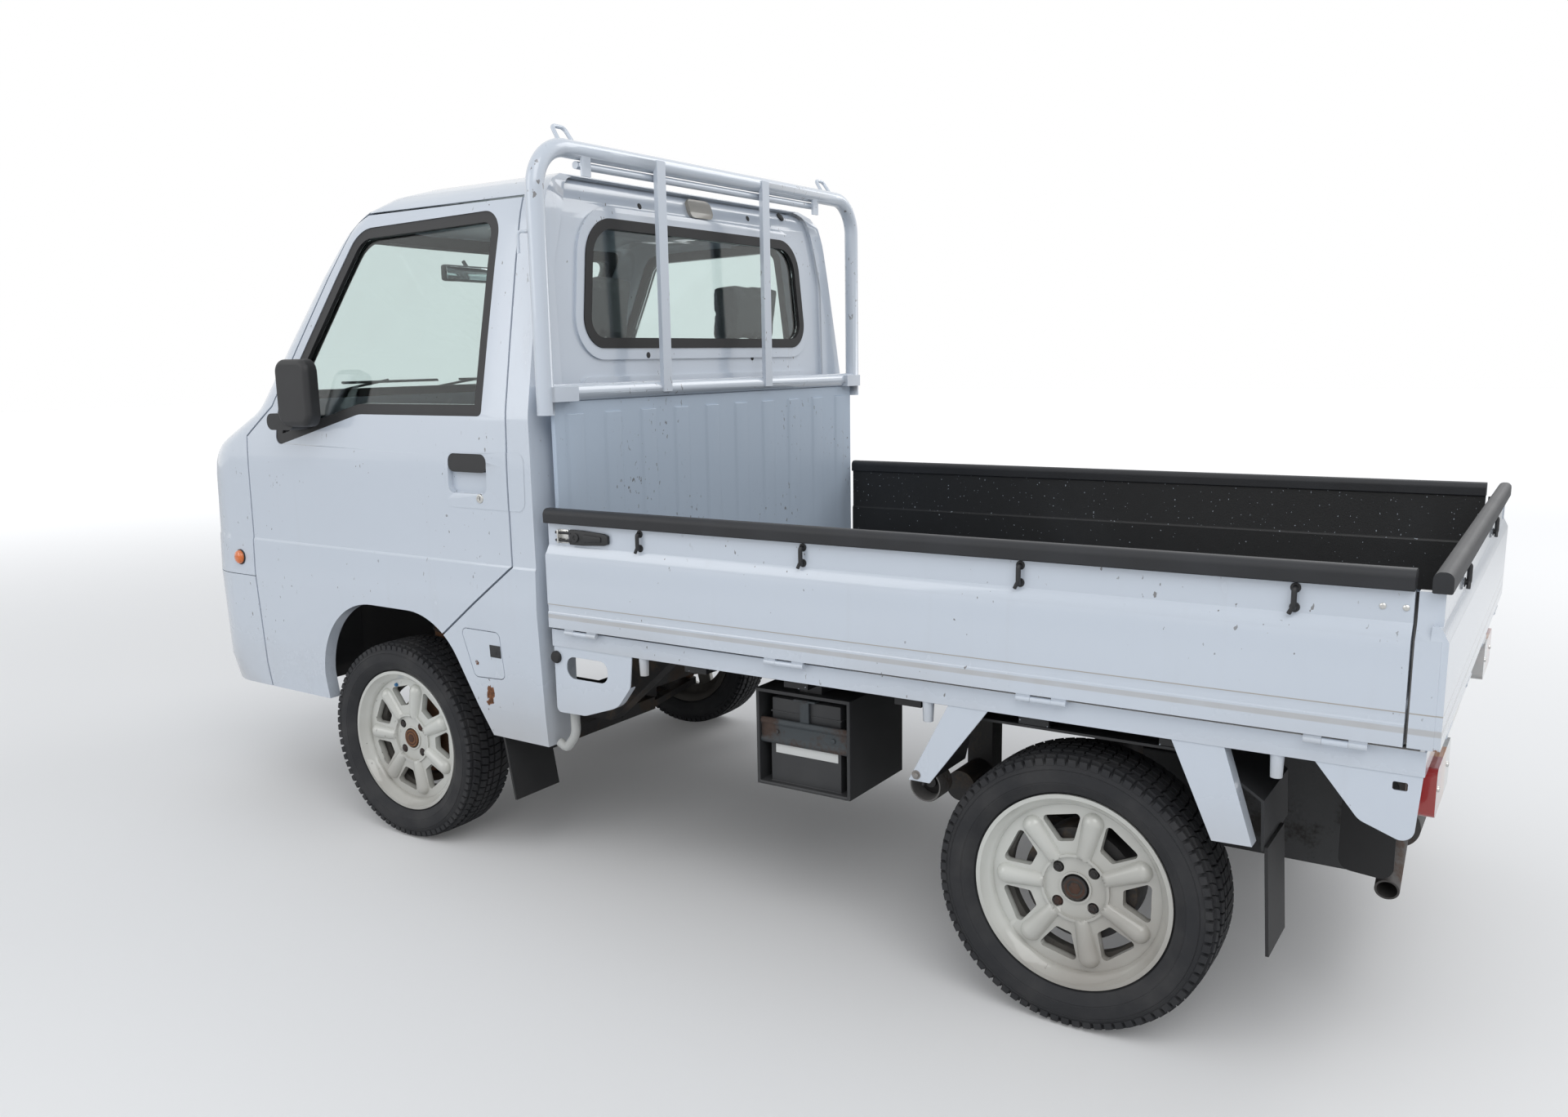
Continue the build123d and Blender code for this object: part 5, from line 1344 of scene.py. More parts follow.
@dataclass
class Shape:
    """Boxes, rods, prisms and turned forms joined in one piece."""

    mesh: bmesh.types.BMesh = field(default_factory=bmesh.new)

    def _add(self, part: bmesh.types.BMesh, place: Matrix | None) -> "Shape":
        """Join a closed part, moved into place.

        Args:
            part: The part, which is freed.
            place: Where it goes, or None to leave it.

        Returns:
            This shape.
        """
        if place is not None:
            bmesh.ops.transform(part, matrix=place, verts=part.verts)
        join(self.mesh, part)
        return self

    @staticmethod
    def _round(part: bmesh.types.BMesh, bevel: float) -> None:
        """Round the sharp edges of a part.

        Args:
            part: The part.
            bevel: How wide the edges are rounded.
        """
        if bevel <= 0:
            return
        bmesh.ops.recalc_face_normals(part, faces=part.faces)
        sharp = [e for e in part.edges if e.calc_face_angle(0) > math.radians(35)]
        bmesh.ops.bevel(
            part, geom=sharp, offset=bevel, segments=2, profile=0.5, affect="EDGES", clamp_overlap=True
        )

    def box(self, low: Point, high: Point, bevel: float = 0.001, place: Matrix | None = None) -> "Shape":
        """A block between two corners with rounded edges.

        Args:
            low: Its lowest corner.
            high: Its highest corner.
            bevel: How wide the edges are rounded.
            place: The local frame.

        Returns:
            This shape.
        """
        part = bmesh.new()
        bmesh.ops.create_cube(part, size=1.0)
        for vert in part.verts:
            vert.co = Vector([a + (c + 0.5) * (b - a) for a, b, c in zip(low, high, vert.co)])
        self._round(part, bevel)
        return self._add(part, place)

    def prism(
        self, corners: Sequence[Spot], low: float, high: float, place: Matrix, bevel: float = 0.001
    ) -> "Shape":
        """An outline raised between two heights of a local frame.

        Args:
            corners: The outline.
            low: The lower height.
            high: The upper height.
            place: The local frame.
            bevel: How wide the edges are rounded.

        Returns:
            This shape.
        """
        part = bmesh.new()
        base = [part.verts.new((a, b, low)) for a, b in corners]
        top = [part.verts.new((a, b, high)) for a, b in corners]
        part.faces.new(list(reversed(base)))
        part.faces.new(top)
        skin(part, (base, top))
        self._round(part, bevel)
        return self._add(part, place)

    def turned(
        self, profile: Sequence[Spot], place: Matrix, steps: int = 24, middle: Spot = (0, 0)
    ) -> "Shape":
        """A closed outline of (radius, height) turned about a local axis.

        Args:
            profile: The outline from the axis round to the axis, or a closed ring away from it.
            place: The local frame.
            steps: Faces round the axis.
            middle: The axis's place in the local frame.

        Returns:
            This shape.
        """
        part = bmesh.new()
        rings = []
        for radius, height in profile:
            if radius == 0:
                rings.append([part.verts.new((*middle, height))] * steps)
                continue
            rings.append([
                part.verts.new((middle[0] + radius * c, middle[1] + radius * s, height))
                for c, s in circle(steps)
            ])
        if profile[0][0] > 0:
            rings.append(rings[0])
        skin(part, rings)
        return self._add(part, place)

    def hexagon(
        self, radius: float, low: float, high: float, place: Matrix, middle: Spot = (0, 0)
    ) -> "Shape":
        """A nut or bolt head with a drawn-in top edge."""
        corners = [(middle[0] + radius * c, middle[1] + radius * s) for c, s in circle(6)]
        return self.prism(corners, low, high, place, 0.12 * radius)

    @staticmethod
    def _bent(path: Sequence[Point], bend: float) -> list[Vector]:
        """A path with its corners rounded.

        Args:
            path: Its points.
            bend: How far from a corner its rounding starts.

        Returns:
            The rounded path.
        """
        points = [Vector(p) for p in path]
        if bend <= 0:
            return points
        smooth = [points[0]]
        for before, here, after in zip(points, points[1:], points[2:]):
            cut = min(bend, 0.45 * (here - before).length, 0.45 * (after - here).length)
            enter = here + (before - here).normalized() * cut
            leave = here + (after - here).normalized() * cut
            for step in range(7):
                t = step / 6
                smooth.append(enter * (1 - t) ** 2 + here * (2 * t * (1 - t)) + leave * t ** 2)
        return smooth + [points[-1]]

    def rod(
        self,
        path: Sequence[Point],
        radius: float,
        bend: float = 0.0,
        sides: int = 12,
        place: Matrix | None = None,
    ) -> "Shape":
        """A round bar along a path, its ends closed.

        Args:
            path: Its middle line.
            radius: Its radius.
            bend: How far from a corner its rounding starts.
            sides: Faces round it.
            place: The local frame.

        Returns:
            This shape.
        """
        line = self._bent(path, bend)
        part = bmesh.new()
        rings = []
        across = None
        for index, point in enumerate(line):
            ahead = line[min(index + 1, len(line) - 1)] - line[max(index - 1, 0)]
            ahead.normalize()
            if across is None:
                across = ahead.orthogonal().normalized()
            across = (across - ahead * across.dot(ahead)).normalized()
            other = ahead.cross(across)
            rings.append([
                part.verts.new(point + (across * c + other * s) * radius) for c, s in circle(sides)
            ])
        skin(part, rings)
        part.faces.new(list(reversed(rings[0])))
        part.faces.new(rings[-1])
        return self._add(part, place)

    def stand(
        self,
        name: str,
        body: str,
        slot: str,
        finish: Finish,
        side: Side = Side.LEFT,
        level: Level = Level.FIRM,
    ) -> bpy.types.Object:
        """Make the piece and let it ride on a body, mirrored for the right side.

        Args:
            name: The piece's name.
            body: The body that it moves with.
            slot: The name of a material slot; not used.
            finish: Its material.
            side: The truck's side.
            level: The angle at which an edge becomes sharp.

        Returns:
            The finished object.
        """
        for vert in self.mesh.verts:
            vert.co.y *= side.value
        piece = mesh_object(name, self.mesh, finish, level)
        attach(piece, body)
        return piece


@dataclass
class Fitting:
    """A group of small parts that stand on the dressed truck."""

    dresser: Dresser

    def build(self) -> None:
        """Make the parts and let each ride on its body."""
        raise NotImplementedError


@dataclass
class NumberPlate:
    """A blank number plate with a raised middle, and its two bolts.

    Attributes:
        span: Its lowest and highest Z.
        raised: The raised middle's lower and upper face.
        bolt: A bolt head's radius, lower and upper face.
        bolt_drop: How far the bolts stand below the upper edge.
    """

    name: str
    place: Matrix
    span: Spot
    half: float = 0.165
    rim: float = 0.006
    sheet: float = 0.0022
    sheet_bevel: float = 0.0008
    raised: Spot = (0.0015, 0.0030)
    raised_bevel: float = 0.0008
    bolt: Point = (0.0065, 0.0025, 0.0065)
    bolt_drop: float = 0.030
    bolt_y: float = 0.11

    def build(self) -> None:
        """Fit the plate."""
        low, high = self.span
        under, over = self.raised
        inner = self.half - self.rim
        corners = (-self.half, low, 0.0), (self.half, high, self.sheet)
        plate = Shape().box(*corners, self.sheet_bevel, self.place)
        corners = (-inner, low + self.rim, under), (inner, high - self.rim, over)
        plate.box(*corners, self.raised_bevel, self.place)
        plate.stand(self.name, "truck", "white_paint", PLATE)
        bolts = Shape()
        for y in (-self.bolt_y, self.bolt_y):
            bolts.hexagon(*self.bolt, self.place, (y, high - self.bolt_drop))
        bolts.stand(self.name + "_bolts", "truck", "bare_steel", BRIGHT)


@dataclass
class GateFittings(Fitting):
    """Rope hooks, latches and screws on the three gates."""

    strip_y: float = 0.7225
    strip_tail_x: float = -1.6855
    hooks_x: tuple[float, ...] = (-0.104, -0.531, -1.000, -1.472)
    tail_hooks_y: tuple[float, ...] = (0.356, -0.356)
    hook_low: float = 0.871
    hook_high: float = 0.903
    hook_out: float = 0.010
    tail_hook_out: float = 0.0068
    hook_radius: float = 0.0046
    screws_x: tuple[float, ...] = (-1.601, -1.634)
    screw_z: float = 0.885
    screw: Outline = (
        (0, 0.0), (0.0052, 0.0), (0.0050, 0.0012), (0.0034, 0.0024), (0.0012, 0.0027), (0, 0.0022),
    )
    washer: Outline = ((0, 0.0), (0.0085, 0.0), (0.0085, 0.0012), (0.006, 0.002), (0, 0.002))
    lever: Outline = (
        (-0.0165, 0.8745), (-0.004, 0.8705), (0.060, 0.8665), (0.0995, 0.8665),
        (0.0995, 0.9015), (0.060, 0.9015), (-0.004, 0.8975), (-0.0165, 0.8935),
    )
    lever_ridge: Outline = ((0.002, 0.878), (0.055, 0.875), (0.055, 0.893), (0.002, 0.890))
    lever_boss: Outline = (
        (0, 0.004), (0.0105, 0.004), (0.0105, 0.0120), (0.0090, 0.0132), (0.0050, 0.0132),
        (0.0042, 0.0116), (0, 0.0116),
    )
    lever_pivot: Spot = (0.080, 0.884)
    rods_z: Spot = (0.875, 0.893)
    plate_x: Spot = (0.107, 0.136)
    plate_z: Spot = (0.868, 0.900)
    plate_bolts_z: Spot = (0.874, 0.8945)

    def _hook(self, shape: Shape, place: Matrix, at: float, out: float) -> None:
        """A bent rod with its feet on a face and a short leg below.

        Args:
            shape: What the hook is added to.
            place: The local frame.
            at: Its place along the gate.
            out: How far it stands out.
        """
        path = [
            (at, self.hook_low, -0.002), (at, self.hook_low, out),
            (at, self.hook_high, out), (at, self.hook_high, -0.002),
        ]
        shape.rod(path, self.hook_radius, 0.007, place=place)
        leg = [(at, self.hook_low + 0.004, out), (at + 0.007, self.hook_low - 0.010, out)]
        shape.rod(leg, 0.8 * self.hook_radius, place=place)
        for height in (self.hook_low, self.hook_high):
            shape.turned(self.washer, place, 16, (at, height))

    def _latch(self, side: Side) -> None:
        """The lever with its pivot, the catch plate and its two rods.

        Args:
            side: The truck's side.
        """
        node = f"gate_latch_{side.word}"
        body = self.dresser.body_of(node)
        place = face_y(self.strip_y)
        lever = Shape().prism(self.lever, 0.0004, 0.0095, place, 0.0024)
        lever.prism(self.lever_ridge, 0.009, 0.0125, place, 0.0018)
        lever.turned(self.lever_boss, place, 24, self.lever_pivot)
        for height in self.rods_z:
            lever.rod([(0.094, height, 0.007), (0.142, height, 0.007)], 0.0032, place=place)
        piece = lever.stand(f"latch_lever_{side.word}", body, "black_plastic", BLACK_TRIM, side)
        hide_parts(node)
        (rear, front), (low, high) = self.plate_x, self.plate_z
        plate = Shape().box((rear, low, 0.0003), (front, high, 0.0030), 0.0008, place)
        plate.box((front - 0.0045, low, 0.0003), (front, high, 0.0115), 0.0010, place)
        for height in self.plate_bolts_z:
            plate.hexagon(0.0045, 0.0028, 0.0058, place, (0.1145, height))
        plate.stand(f"latch_plate_{side.word}", body, "bare_steel", BRIGHT, side)

    def build(self) -> None:
        """Fit the gates."""
        for side in Side:
            body = self.dresser.body_of(f"side_gate_{side.word}")
            place = face_y(self.strip_y)
            hooks, screws = Shape(), Shape()
            for at in self.hooks_x:
                self._hook(hooks, place, at, self.hook_out)
            for at in self.screws_x:
                screws.turned(self.screw, place, 16, (at, self.screw_z))
            hooks.stand(f"rope_hooks_{side.word}", body, "black_plastic", BLACK_TRIM, side)
            screws.stand(f"strip_screws_{side.word}", body, "bare_steel", BRIGHT, side)
            self._latch(side)
        tail = Shape()
        for at in self.tail_hooks_y:
            self._hook(tail, face_x(self.strip_tail_x, -1), at, self.tail_hook_out)
        tail.stand("tail_hooks", self.dresser.body_of("tailgate"), "black_plastic", BLACK_TRIM)


@dataclass
class CabFittings(Fitting):
    """Locks, repeaters, mirrors, wipers, plugs, lamps, front plate and the dashboard's small parts."""

    lock: Spot = (0.388, 0.959)
    repeater: Spot = (1.407, 0.740)
    plugs: tuple[Spot, ...] = ((0.253, 1.671), (-0.239, 1.681), (0.262, 1.295), (-0.224, 1.284))
    big_plug: Spot = (-0.422, 1.700)
    wiper_feet: tuple[Spot, ...] = ((0.42, -0.02), (-0.06, -0.50))
    lock_rim: Outline = (
        (0, 0.0006), (0.0068, 0.0006), (0.0076, 0.0026), (0.0108, 0.0022), (0.0120, -0.001), (0, -0.001),
    )
    repeater_base: Outline = ((0, 0.0), (0.0222, 0.0), (0.0222, 0.0022), (0.0205, 0.0036), (0, 0.0036))
    repeater_dome: Outline = (
        (0, 0.003), (0.0198, 0.003), (0.0194, 0.0072), (0.0165, 0.0112), (0.0100, 0.0138), (0, 0.0146),
    )
    mirror_glass: tuple[Point, Point] = ((0.962, 0.7402, 1.138), (1.074, 0.7418, 1.286))
    lid_catch: Spot = (0.3655, 0.5815)
    lid_catch_half: Spot = (0.0185, 0.0155)
    plug: Outline = ((0, 0.0), (0.0078, 0.0), (0.0078, 0.0006), (0.0055, 0.0012), (0, 0.0012))
    large_plug: Outline = ((0, 0.0), (0.014, 0.0), (0.0135, 0.003), (0.009, 0.005), (0, 0.005))
    wiper_shares: tuple[float, ...] = (0.12, 0.4, 0.7, 1.0)
    wiper_root: Spot = (1.395, 1.226)
    lamp_z: float = 0.830
    lamps: tuple[Spot, ...] = ((0.545, 1.0), (0.632, 0.48))
    bowl: Outline = (
        (0, -0.050), (0.026, -0.046), (0.050, -0.032), (0.066, -0.006), (0.074, -0.005), (0.076, -0.008),
        (0.078, -0.004), (0.074, -0.0025), (0.065, -0.0035), (0.048, -0.029), (0.024, -0.043), (0, -0.047),
    )
    bulb: Outline = ((0, -0.047), (0.009, -0.046), (0.009, -0.034), (0.006, -0.028), (0, -0.026))
    bulb_shield: Outline = ((0, -0.020), (0.013, -0.020), (0.011, -0.014), (0, -0.012))
    cabin_mirror: tuple[Point, Point] = ((1.150, -0.105, 1.535), (1.172, 0.105, 1.585))
    cabin_glass: tuple[Point, Point] = ((1.1486, -0.098, 1.541), (1.1498, 0.098, 1.579))
    hood: Outline = (
        (1.222, 1.088), (1.34, 1.088), (1.32, 1.118), (1.26, 1.140), (1.215, 1.142), (1.222, 1.12),
    )
    hood_y: Spot = (-0.50, -0.20)
    vents_y: tuple[float, ...] = (0.56, 0.16, 0.02, -0.60)
    slats: int = 5
    slat_pitch: float = 0.0115
    gear_path: tuple[Point, ...] = ((0.98, -0.02, 0.66), (0.985, -0.03, 0.80), (0.97, -0.035, 0.89))
    knob: Outline = (
        (0, -0.03), (0.014, -0.028), (0.022, -0.01), (0.022, 0.008), (0.014, 0.022), (0, 0.026),
    )
    boot: Outline = ((0, -0.02), (0.045, -0.02), (0.03, 0.02), (0.012, 0.05), (0, 0.05))
    plate_x: float = 1.6885
    plate_z: Spot = (0.432, 0.597)

    def _sides(self) -> None:
        """The lock and mirror glass on each door, the repeater on each cab side."""
        for side in Side:
            sign = side.value
            door = self.dresser.body_of(f"door_{side.word}")
            start = (self.lock[0], sign, self.lock[1])
            place = self.dresser.seat_on(f"door_{side.word}", start, (0, -sign, 0))
            rim = Shape().turned(self.lock_rim, place, 28)
            rim.stand(f"lock_{side.word}", door, "bare_steel", BRIGHT)
            slit = Shape().box((-0.0010, -0.0048, 0.0004), (0.0010, 0.0048, 0.0010), 0.0002, place)
            slit.stand(f"keyhole_{side.word}", door, "black_plastic", BLACK_TRIM)
            start = (self.repeater[0], sign, self.repeater[1])
            place = self.dresser.seat_on("cab_shell", start, (0, -sign, 0))
            base = Shape().turned(self.repeater_base, place, 32)
            base.stand(f"repeater_base_{side.word}", "truck", "black_rubber", SEAL)
            lens = Shape().turned(self.repeater_dome, place, 32)
            lens.stand(f"repeater_{side.word}", "truck", "lamp_red", LAMP_AMBER, level=Level.SOFT)
            glass = Shape().box(*self.mirror_glass, 0.0006)
            glass.stand(f"mirror_glass_{side.word}", door, "lamp_glass", MIRROR_FACE, side)

    def _lid(self) -> None:
        """The black catch plate on the service lid."""
        x, z = self.lid_catch
        place = self.dresser.seat_on("fuel_lid", (x, 1.0, z), (0, -1, 0))
        half_across, half_up = self.lid_catch_half
        plate = Shape().box((-half_across, -half_up, -0.001), (half_across, half_up, 0.0016), 0.0008, place)
        plate.box((-0.006, -0.006, 0.001), (0.006, 0.006, 0.0023), 0.0006, place)
        plate.stand("lid_catch", self.dresser.body_of("fuel_lid"), "black_plastic", BLACK_TRIM)

    def _back(self) -> None:
        """Rubber plugs in the cab's back."""
        small = Shape()
        for y, z in self.plugs:
            small.turned(self.plug, self.dresser.seat_on("cab_shell", (-0.2, y, z), (1, 0, 0)), 20)
        place = self.dresser.seat_on("cab_shell", (-0.2, *self.big_plug), (1, 0, 0))
        small.turned(self.large_plug, place, 24)
        small.stand("cab_plugs", "truck", "black_rubber", SEAL)

    def _wipers(self) -> None:
        """Two arms with their blades on the windscreen's lower edge."""
        arms, blades = Shape(), Shape()
        for foot, tip in self.wiper_feet:
            root_x, line_z = self.wiper_root
            root, up = self.dresser.hit("cab_shell", (root_x, foot, 2.5), (0, 0, -1))
            line = []
            for share in self.wiper_shares:
                y = foot + (tip - foot) * share
                place, out = self.dresser.hit("cab_glass", (2.5, y, line_z), (-1, 0, 0))
                line.append(place + out * 0.010)
            middle = (line[1] + line[2]) / 2
            knee = root + up * 0.024
            arms.rod([root - up * 0.004, knee], 0.009, sides=16)
            arm = [knee, knee.lerp(middle, 0.5) + up * 0.008, middle + Vector((0.006, 0, 0.004))]
            arms.rod(arm, 0.0042, 0.05)
            blades.rod(line, 0.0036, sides=8)
            blades.rod([point + Vector((-0.004, 0, -0.0025)) for point in line], 0.0022, sides=8)
        arms.stand("wiper_arms", "truck", "black_plastic", BLACK_TRIM)
        blades.stand("wiper_blades", "truck", "black_rubber", SEAL)

    def _lamps(self) -> None:
        """A chromed bowl with its bulb, and a small side lamp, behind each headlamp's lens."""
        for side in Side:
            sign = side.value
            bowls, bulbs = Shape(), Shape()
            for y, size in self.lamps:
                place = self.dresser.seat_on("headlamps", (2.5, sign * y, self.lamp_z), (-1, 0, 0))
                place = place @ Matrix.Scale(size, 4)
                bowls.turned(self.bowl, place, 40)
                bulbs.turned(self.bulb, place, 20)
                bulbs.turned(self.bulb_shield, place, 20)
            bowls.stand(f"lamp_bowls_{side.word}", "truck", "lamp_glass", CHROME, level=Level.SOFT)
            bulbs.stand(f"lamp_bulbs_{side.word}", "truck", "lamp_glass", BRIGHT, level=Level.SOFT)

    def _cabin(self) -> None:
        """The interior mirror, instrument hood, vents and gear lever."""
        mirror = Shape().box(*self.cabin_mirror, 0.008)
        mirror.rod([(1.165, 0, 1.58), (1.18, 0, 1.60)], 0.006)
        mirror.stand("cabin_mirror", "truck", "black_plastic", BLACK_TRIM)
        glass = Shape().box(*self.cabin_glass, 0.0004)
        glass.stand("cabin_mirror_glass", "truck", "lamp_glass", MIRROR_FACE)
        near, far = self.hood_y
        rightward = Matrix(((1, 0, 0, 0), (0, 0, -1, 0), (0, 1, 0, 0), (0, 0, 0, 1)))
        hood = Shape().prism(self.hood, -far, -near, rightward, 0.006)
        hood.stand("instrument_hood", "truck", "grey_plastic", GREY_TRIM)
        vents = Shape()
        for y in self.vents_y:
            vents.box((1.192, y - 0.045, 0.985), (1.202, y + 0.045, 1.045), 0.003)
            for index in range(self.slats):
                z = 0.992 + self.slat_pitch * index
                vents.box((1.1895, y - 0.038, z), (1.1935, y + 0.038, z + 0.003), 0.0008)
        vents.box((1.196, 0.22, 0.86), (1.202, 0.52, 0.965), 0.003)
        vents.stand("dash_vents", "truck", "black_plastic", BLACK_TRIM)
        lever = Shape().rod(self.gear_path, 0.006, 0.06)
        lever.turned(self.knob, Matrix.Translation((0.968, -0.035, 0.905)), 24)
        lever.turned(self.boot, Matrix.Translation((0.98, -0.02, 0.685)), 24)
        lever.stand("gear_lever", "truck", "black_plastic", BLACK_TRIM)

    def build(self) -> None:
        """Fit the cab."""
        self._sides()
        self._lid()
        self._back()
        self._wipers()
        self._lamps()
        NumberPlate("front_plate", face_x(self.plate_x, 1), self.plate_z).build()
        self._cabin()


@dataclass
class BedFittings(Fitting):
    """The stop buttons, drain pipe, stay bolts, arm bushes, rear plate and lamp screws."""

    stop: Point = (0.172, 0.716, 0.589)
    pipe: tuple[Point, ...] = (
        (0.147, 0.690, 0.452), (0.146, 0.690, 0.392), (0.178, 0.690, 0.354), (0.201, 0.690, 0.366)
    )
    button: Outline = (
        (0, 0.0), (0.015, 0.0), (0.015, 0.004), (0.012, 0.0085), (0.006, 0.0092), (0, 0.0085),
    )
    bush_at: Point = (-0.748, 0.545, 0.398)
    bush: Outline = (
        (0.030, 0.0), (0.0365, 0.002), (0.0365, 0.052), (0.035, 0.055), (0.0325, 0.055), (0.030, 0.050),
    )
    bush_core: Outline = (
        (0, 0.0), (0.0302, 0.0), (0.0302, 0.014), (0.012, 0.018), (0.012, 0.030), (0, 0.030),
    )
    washer: Outline = ((0, 0.0), (0.0095, 0.0), (0.0095, 0.0012), (0, 0.0012))
    lamp_screw: Outline = ((0, 0.0), (0.0052, 0.0), (0.0050, 0.0014), (0.0034, 0.0026), (0, 0.0024))
    bolt: Spot = (-0.786, 0.463)
    plate_x: float = -1.6598
    plate_z: Spot = (0.506, 0.598)
    lamp_screws_y: tuple[float, ...] = (-0.585, -0.435, 0.435, 0.585)
    lamp_screw_z: float = 0.5575

    def build(self) -> None:
        """Fit the bed's underside and tail."""
        for side in Side:
            stop = Shape().turned(self.button, face_y(self.stop[1]), 24, (self.stop[0], self.stop[2]))
            stop.stand(f"stop_button_{side.word}", "truck", "black_rubber", SEAL, side)
            x, y, z = self.bush_at
            bush = Shape().turned(self.bush, face_y(y), 36, (x, z))
            bush.stand(f"arm_bush_{side.word}", "truck", "chassis_black", BUSH, side)
            core = Shape().turned(self.bush_core, face_y(y), 24, (x, z))
            core.stand(f"arm_core_{side.word}", "truck", "chassis_black", CHASSIS, side)
            place = self.dresser.seat_on("wheel_stays", (self.bolt[0], 1.0, self.bolt[1]), (0, -1, 0))
            bolt = Shape().turned(self.washer, place, 20)
            bolt.hexagon(0.0068, 0.001, 0.006, place)
            bolt.stand(f"stay_bolt_{side.word}", "truck", "bare_steel", STEEL, side)
        pipe = Shape().rod(self.pipe, 0.0115, 0.02, 16)
        pipe.stand("drain_pipe", "truck", "white_paint", PIPE)
        NumberPlate(
            "rear_plate", face_x(self.plate_x, -1), self.plate_z, sheet=0.0018, sheet_bevel=0.0006,
            raised=(0.0012, 0.0026), bolt=(0.0062, 0.002, 0.0058), bolt_drop=0.028,
        ).build()
        screws = Shape()
        for y in self.lamp_screws_y:
            place = self.dresser.seat_on("rear_lamps", (-2.0, y, self.lamp_screw_z), (1, 0, 0))
            screws.turned(self.lamp_screw, place, 16)
        screws.stand("lamp_screws", "truck", "bare_steel", BRIGHT)


@dataclass
class BatteryDress(Fitting):
    """The battery's lid, label and hold-down bar, and the beaded edge of its housing."""

    cell_x: Spot = (-0.558, -0.382)
    face_y: float = 0.626
    lip_x: Spot = (-0.5862, -0.3538)
    lip_y: float = 0.6372
    lip_z: Spot = (0.3492, 0.562)
    post: Outline = ((0, 0.0), (0.009, 0.0), (0.008, 0.008), (0, 0.008))
    bar: Outline = (
        (0.0, 0.442), (0.006, 0.442), (0.0095, 0.447), (0.0095, 0.452), (0.005, 0.458), (0.005, 0.483),
        (0.0095, 0.489), (0.0095, 0.494), (0.006, 0.499), (0.0, 0.499),
    )
    bar_x: Spot = (-0.5815, -0.3585)
    bar_bolts_x: Spot = (-0.545, -0.40)

    def build(self) -> None:
        """Dress the battery."""
        x0, x1 = self.cell_x
        face = self.face_y
        lid = Shape().box((x0, 0.425, 0.494), (x1, face - 0.003, 0.545), 0.003)
        lid.box((x0 - 0.003, 0.424, 0.512), (x1 + 0.003, face - 0.0015, 0.5155), 0.001)
        for at in (x0 + 0.03, x1 - 0.03):
            lid.turned(self.post, Matrix.Translation((at, 0.50, 0.545)), 16)
        lid.stand("battery_lid", "truck", "battery_grey", CASE)
        label = Shape().box((x0 + 0.005, face + 0.0001, 0.420), (x1 - 0.011, face + 0.0007, 0.449), 0.0002)
        label.stand("battery_label", "truck", "white_paint", WHITE_LABEL)
        bar = Shape()
        along = Matrix(((0, 0, 1, 0), (1, 0, 0, face + 0.0006), (0, 1, 0, 0), (0, 0, 0, 1)))
        bar.prism(self.bar, *self.bar_x, along, 0.0006)
        bar.box((-0.482, face - 0.003, 0.492), (-0.459, face + 0.005, 0.548), 0.0012)
        bar.box((-0.498, face - 0.02, 0.545), (-0.443, face + 0.005, 0.5495), 0.0012)
        for at in self.bar_bolts_x:
            bar.hexagon(0.0055, 0.004, 0.009, face_y(face), (at, 0.470))
        bar.stand("battery_bar", "truck", "bare_steel", BAR)
        rear, front = self.lip_x
        y, (low, high) = self.lip_y, self.lip_z
        lip = Shape().rod([(rear, y, high), (rear, y, low), (front, y, low), (front, y, high)], 0.0036, 0.008)
        lip.stand("battery_lip", "truck", "battery_grey", CASE)


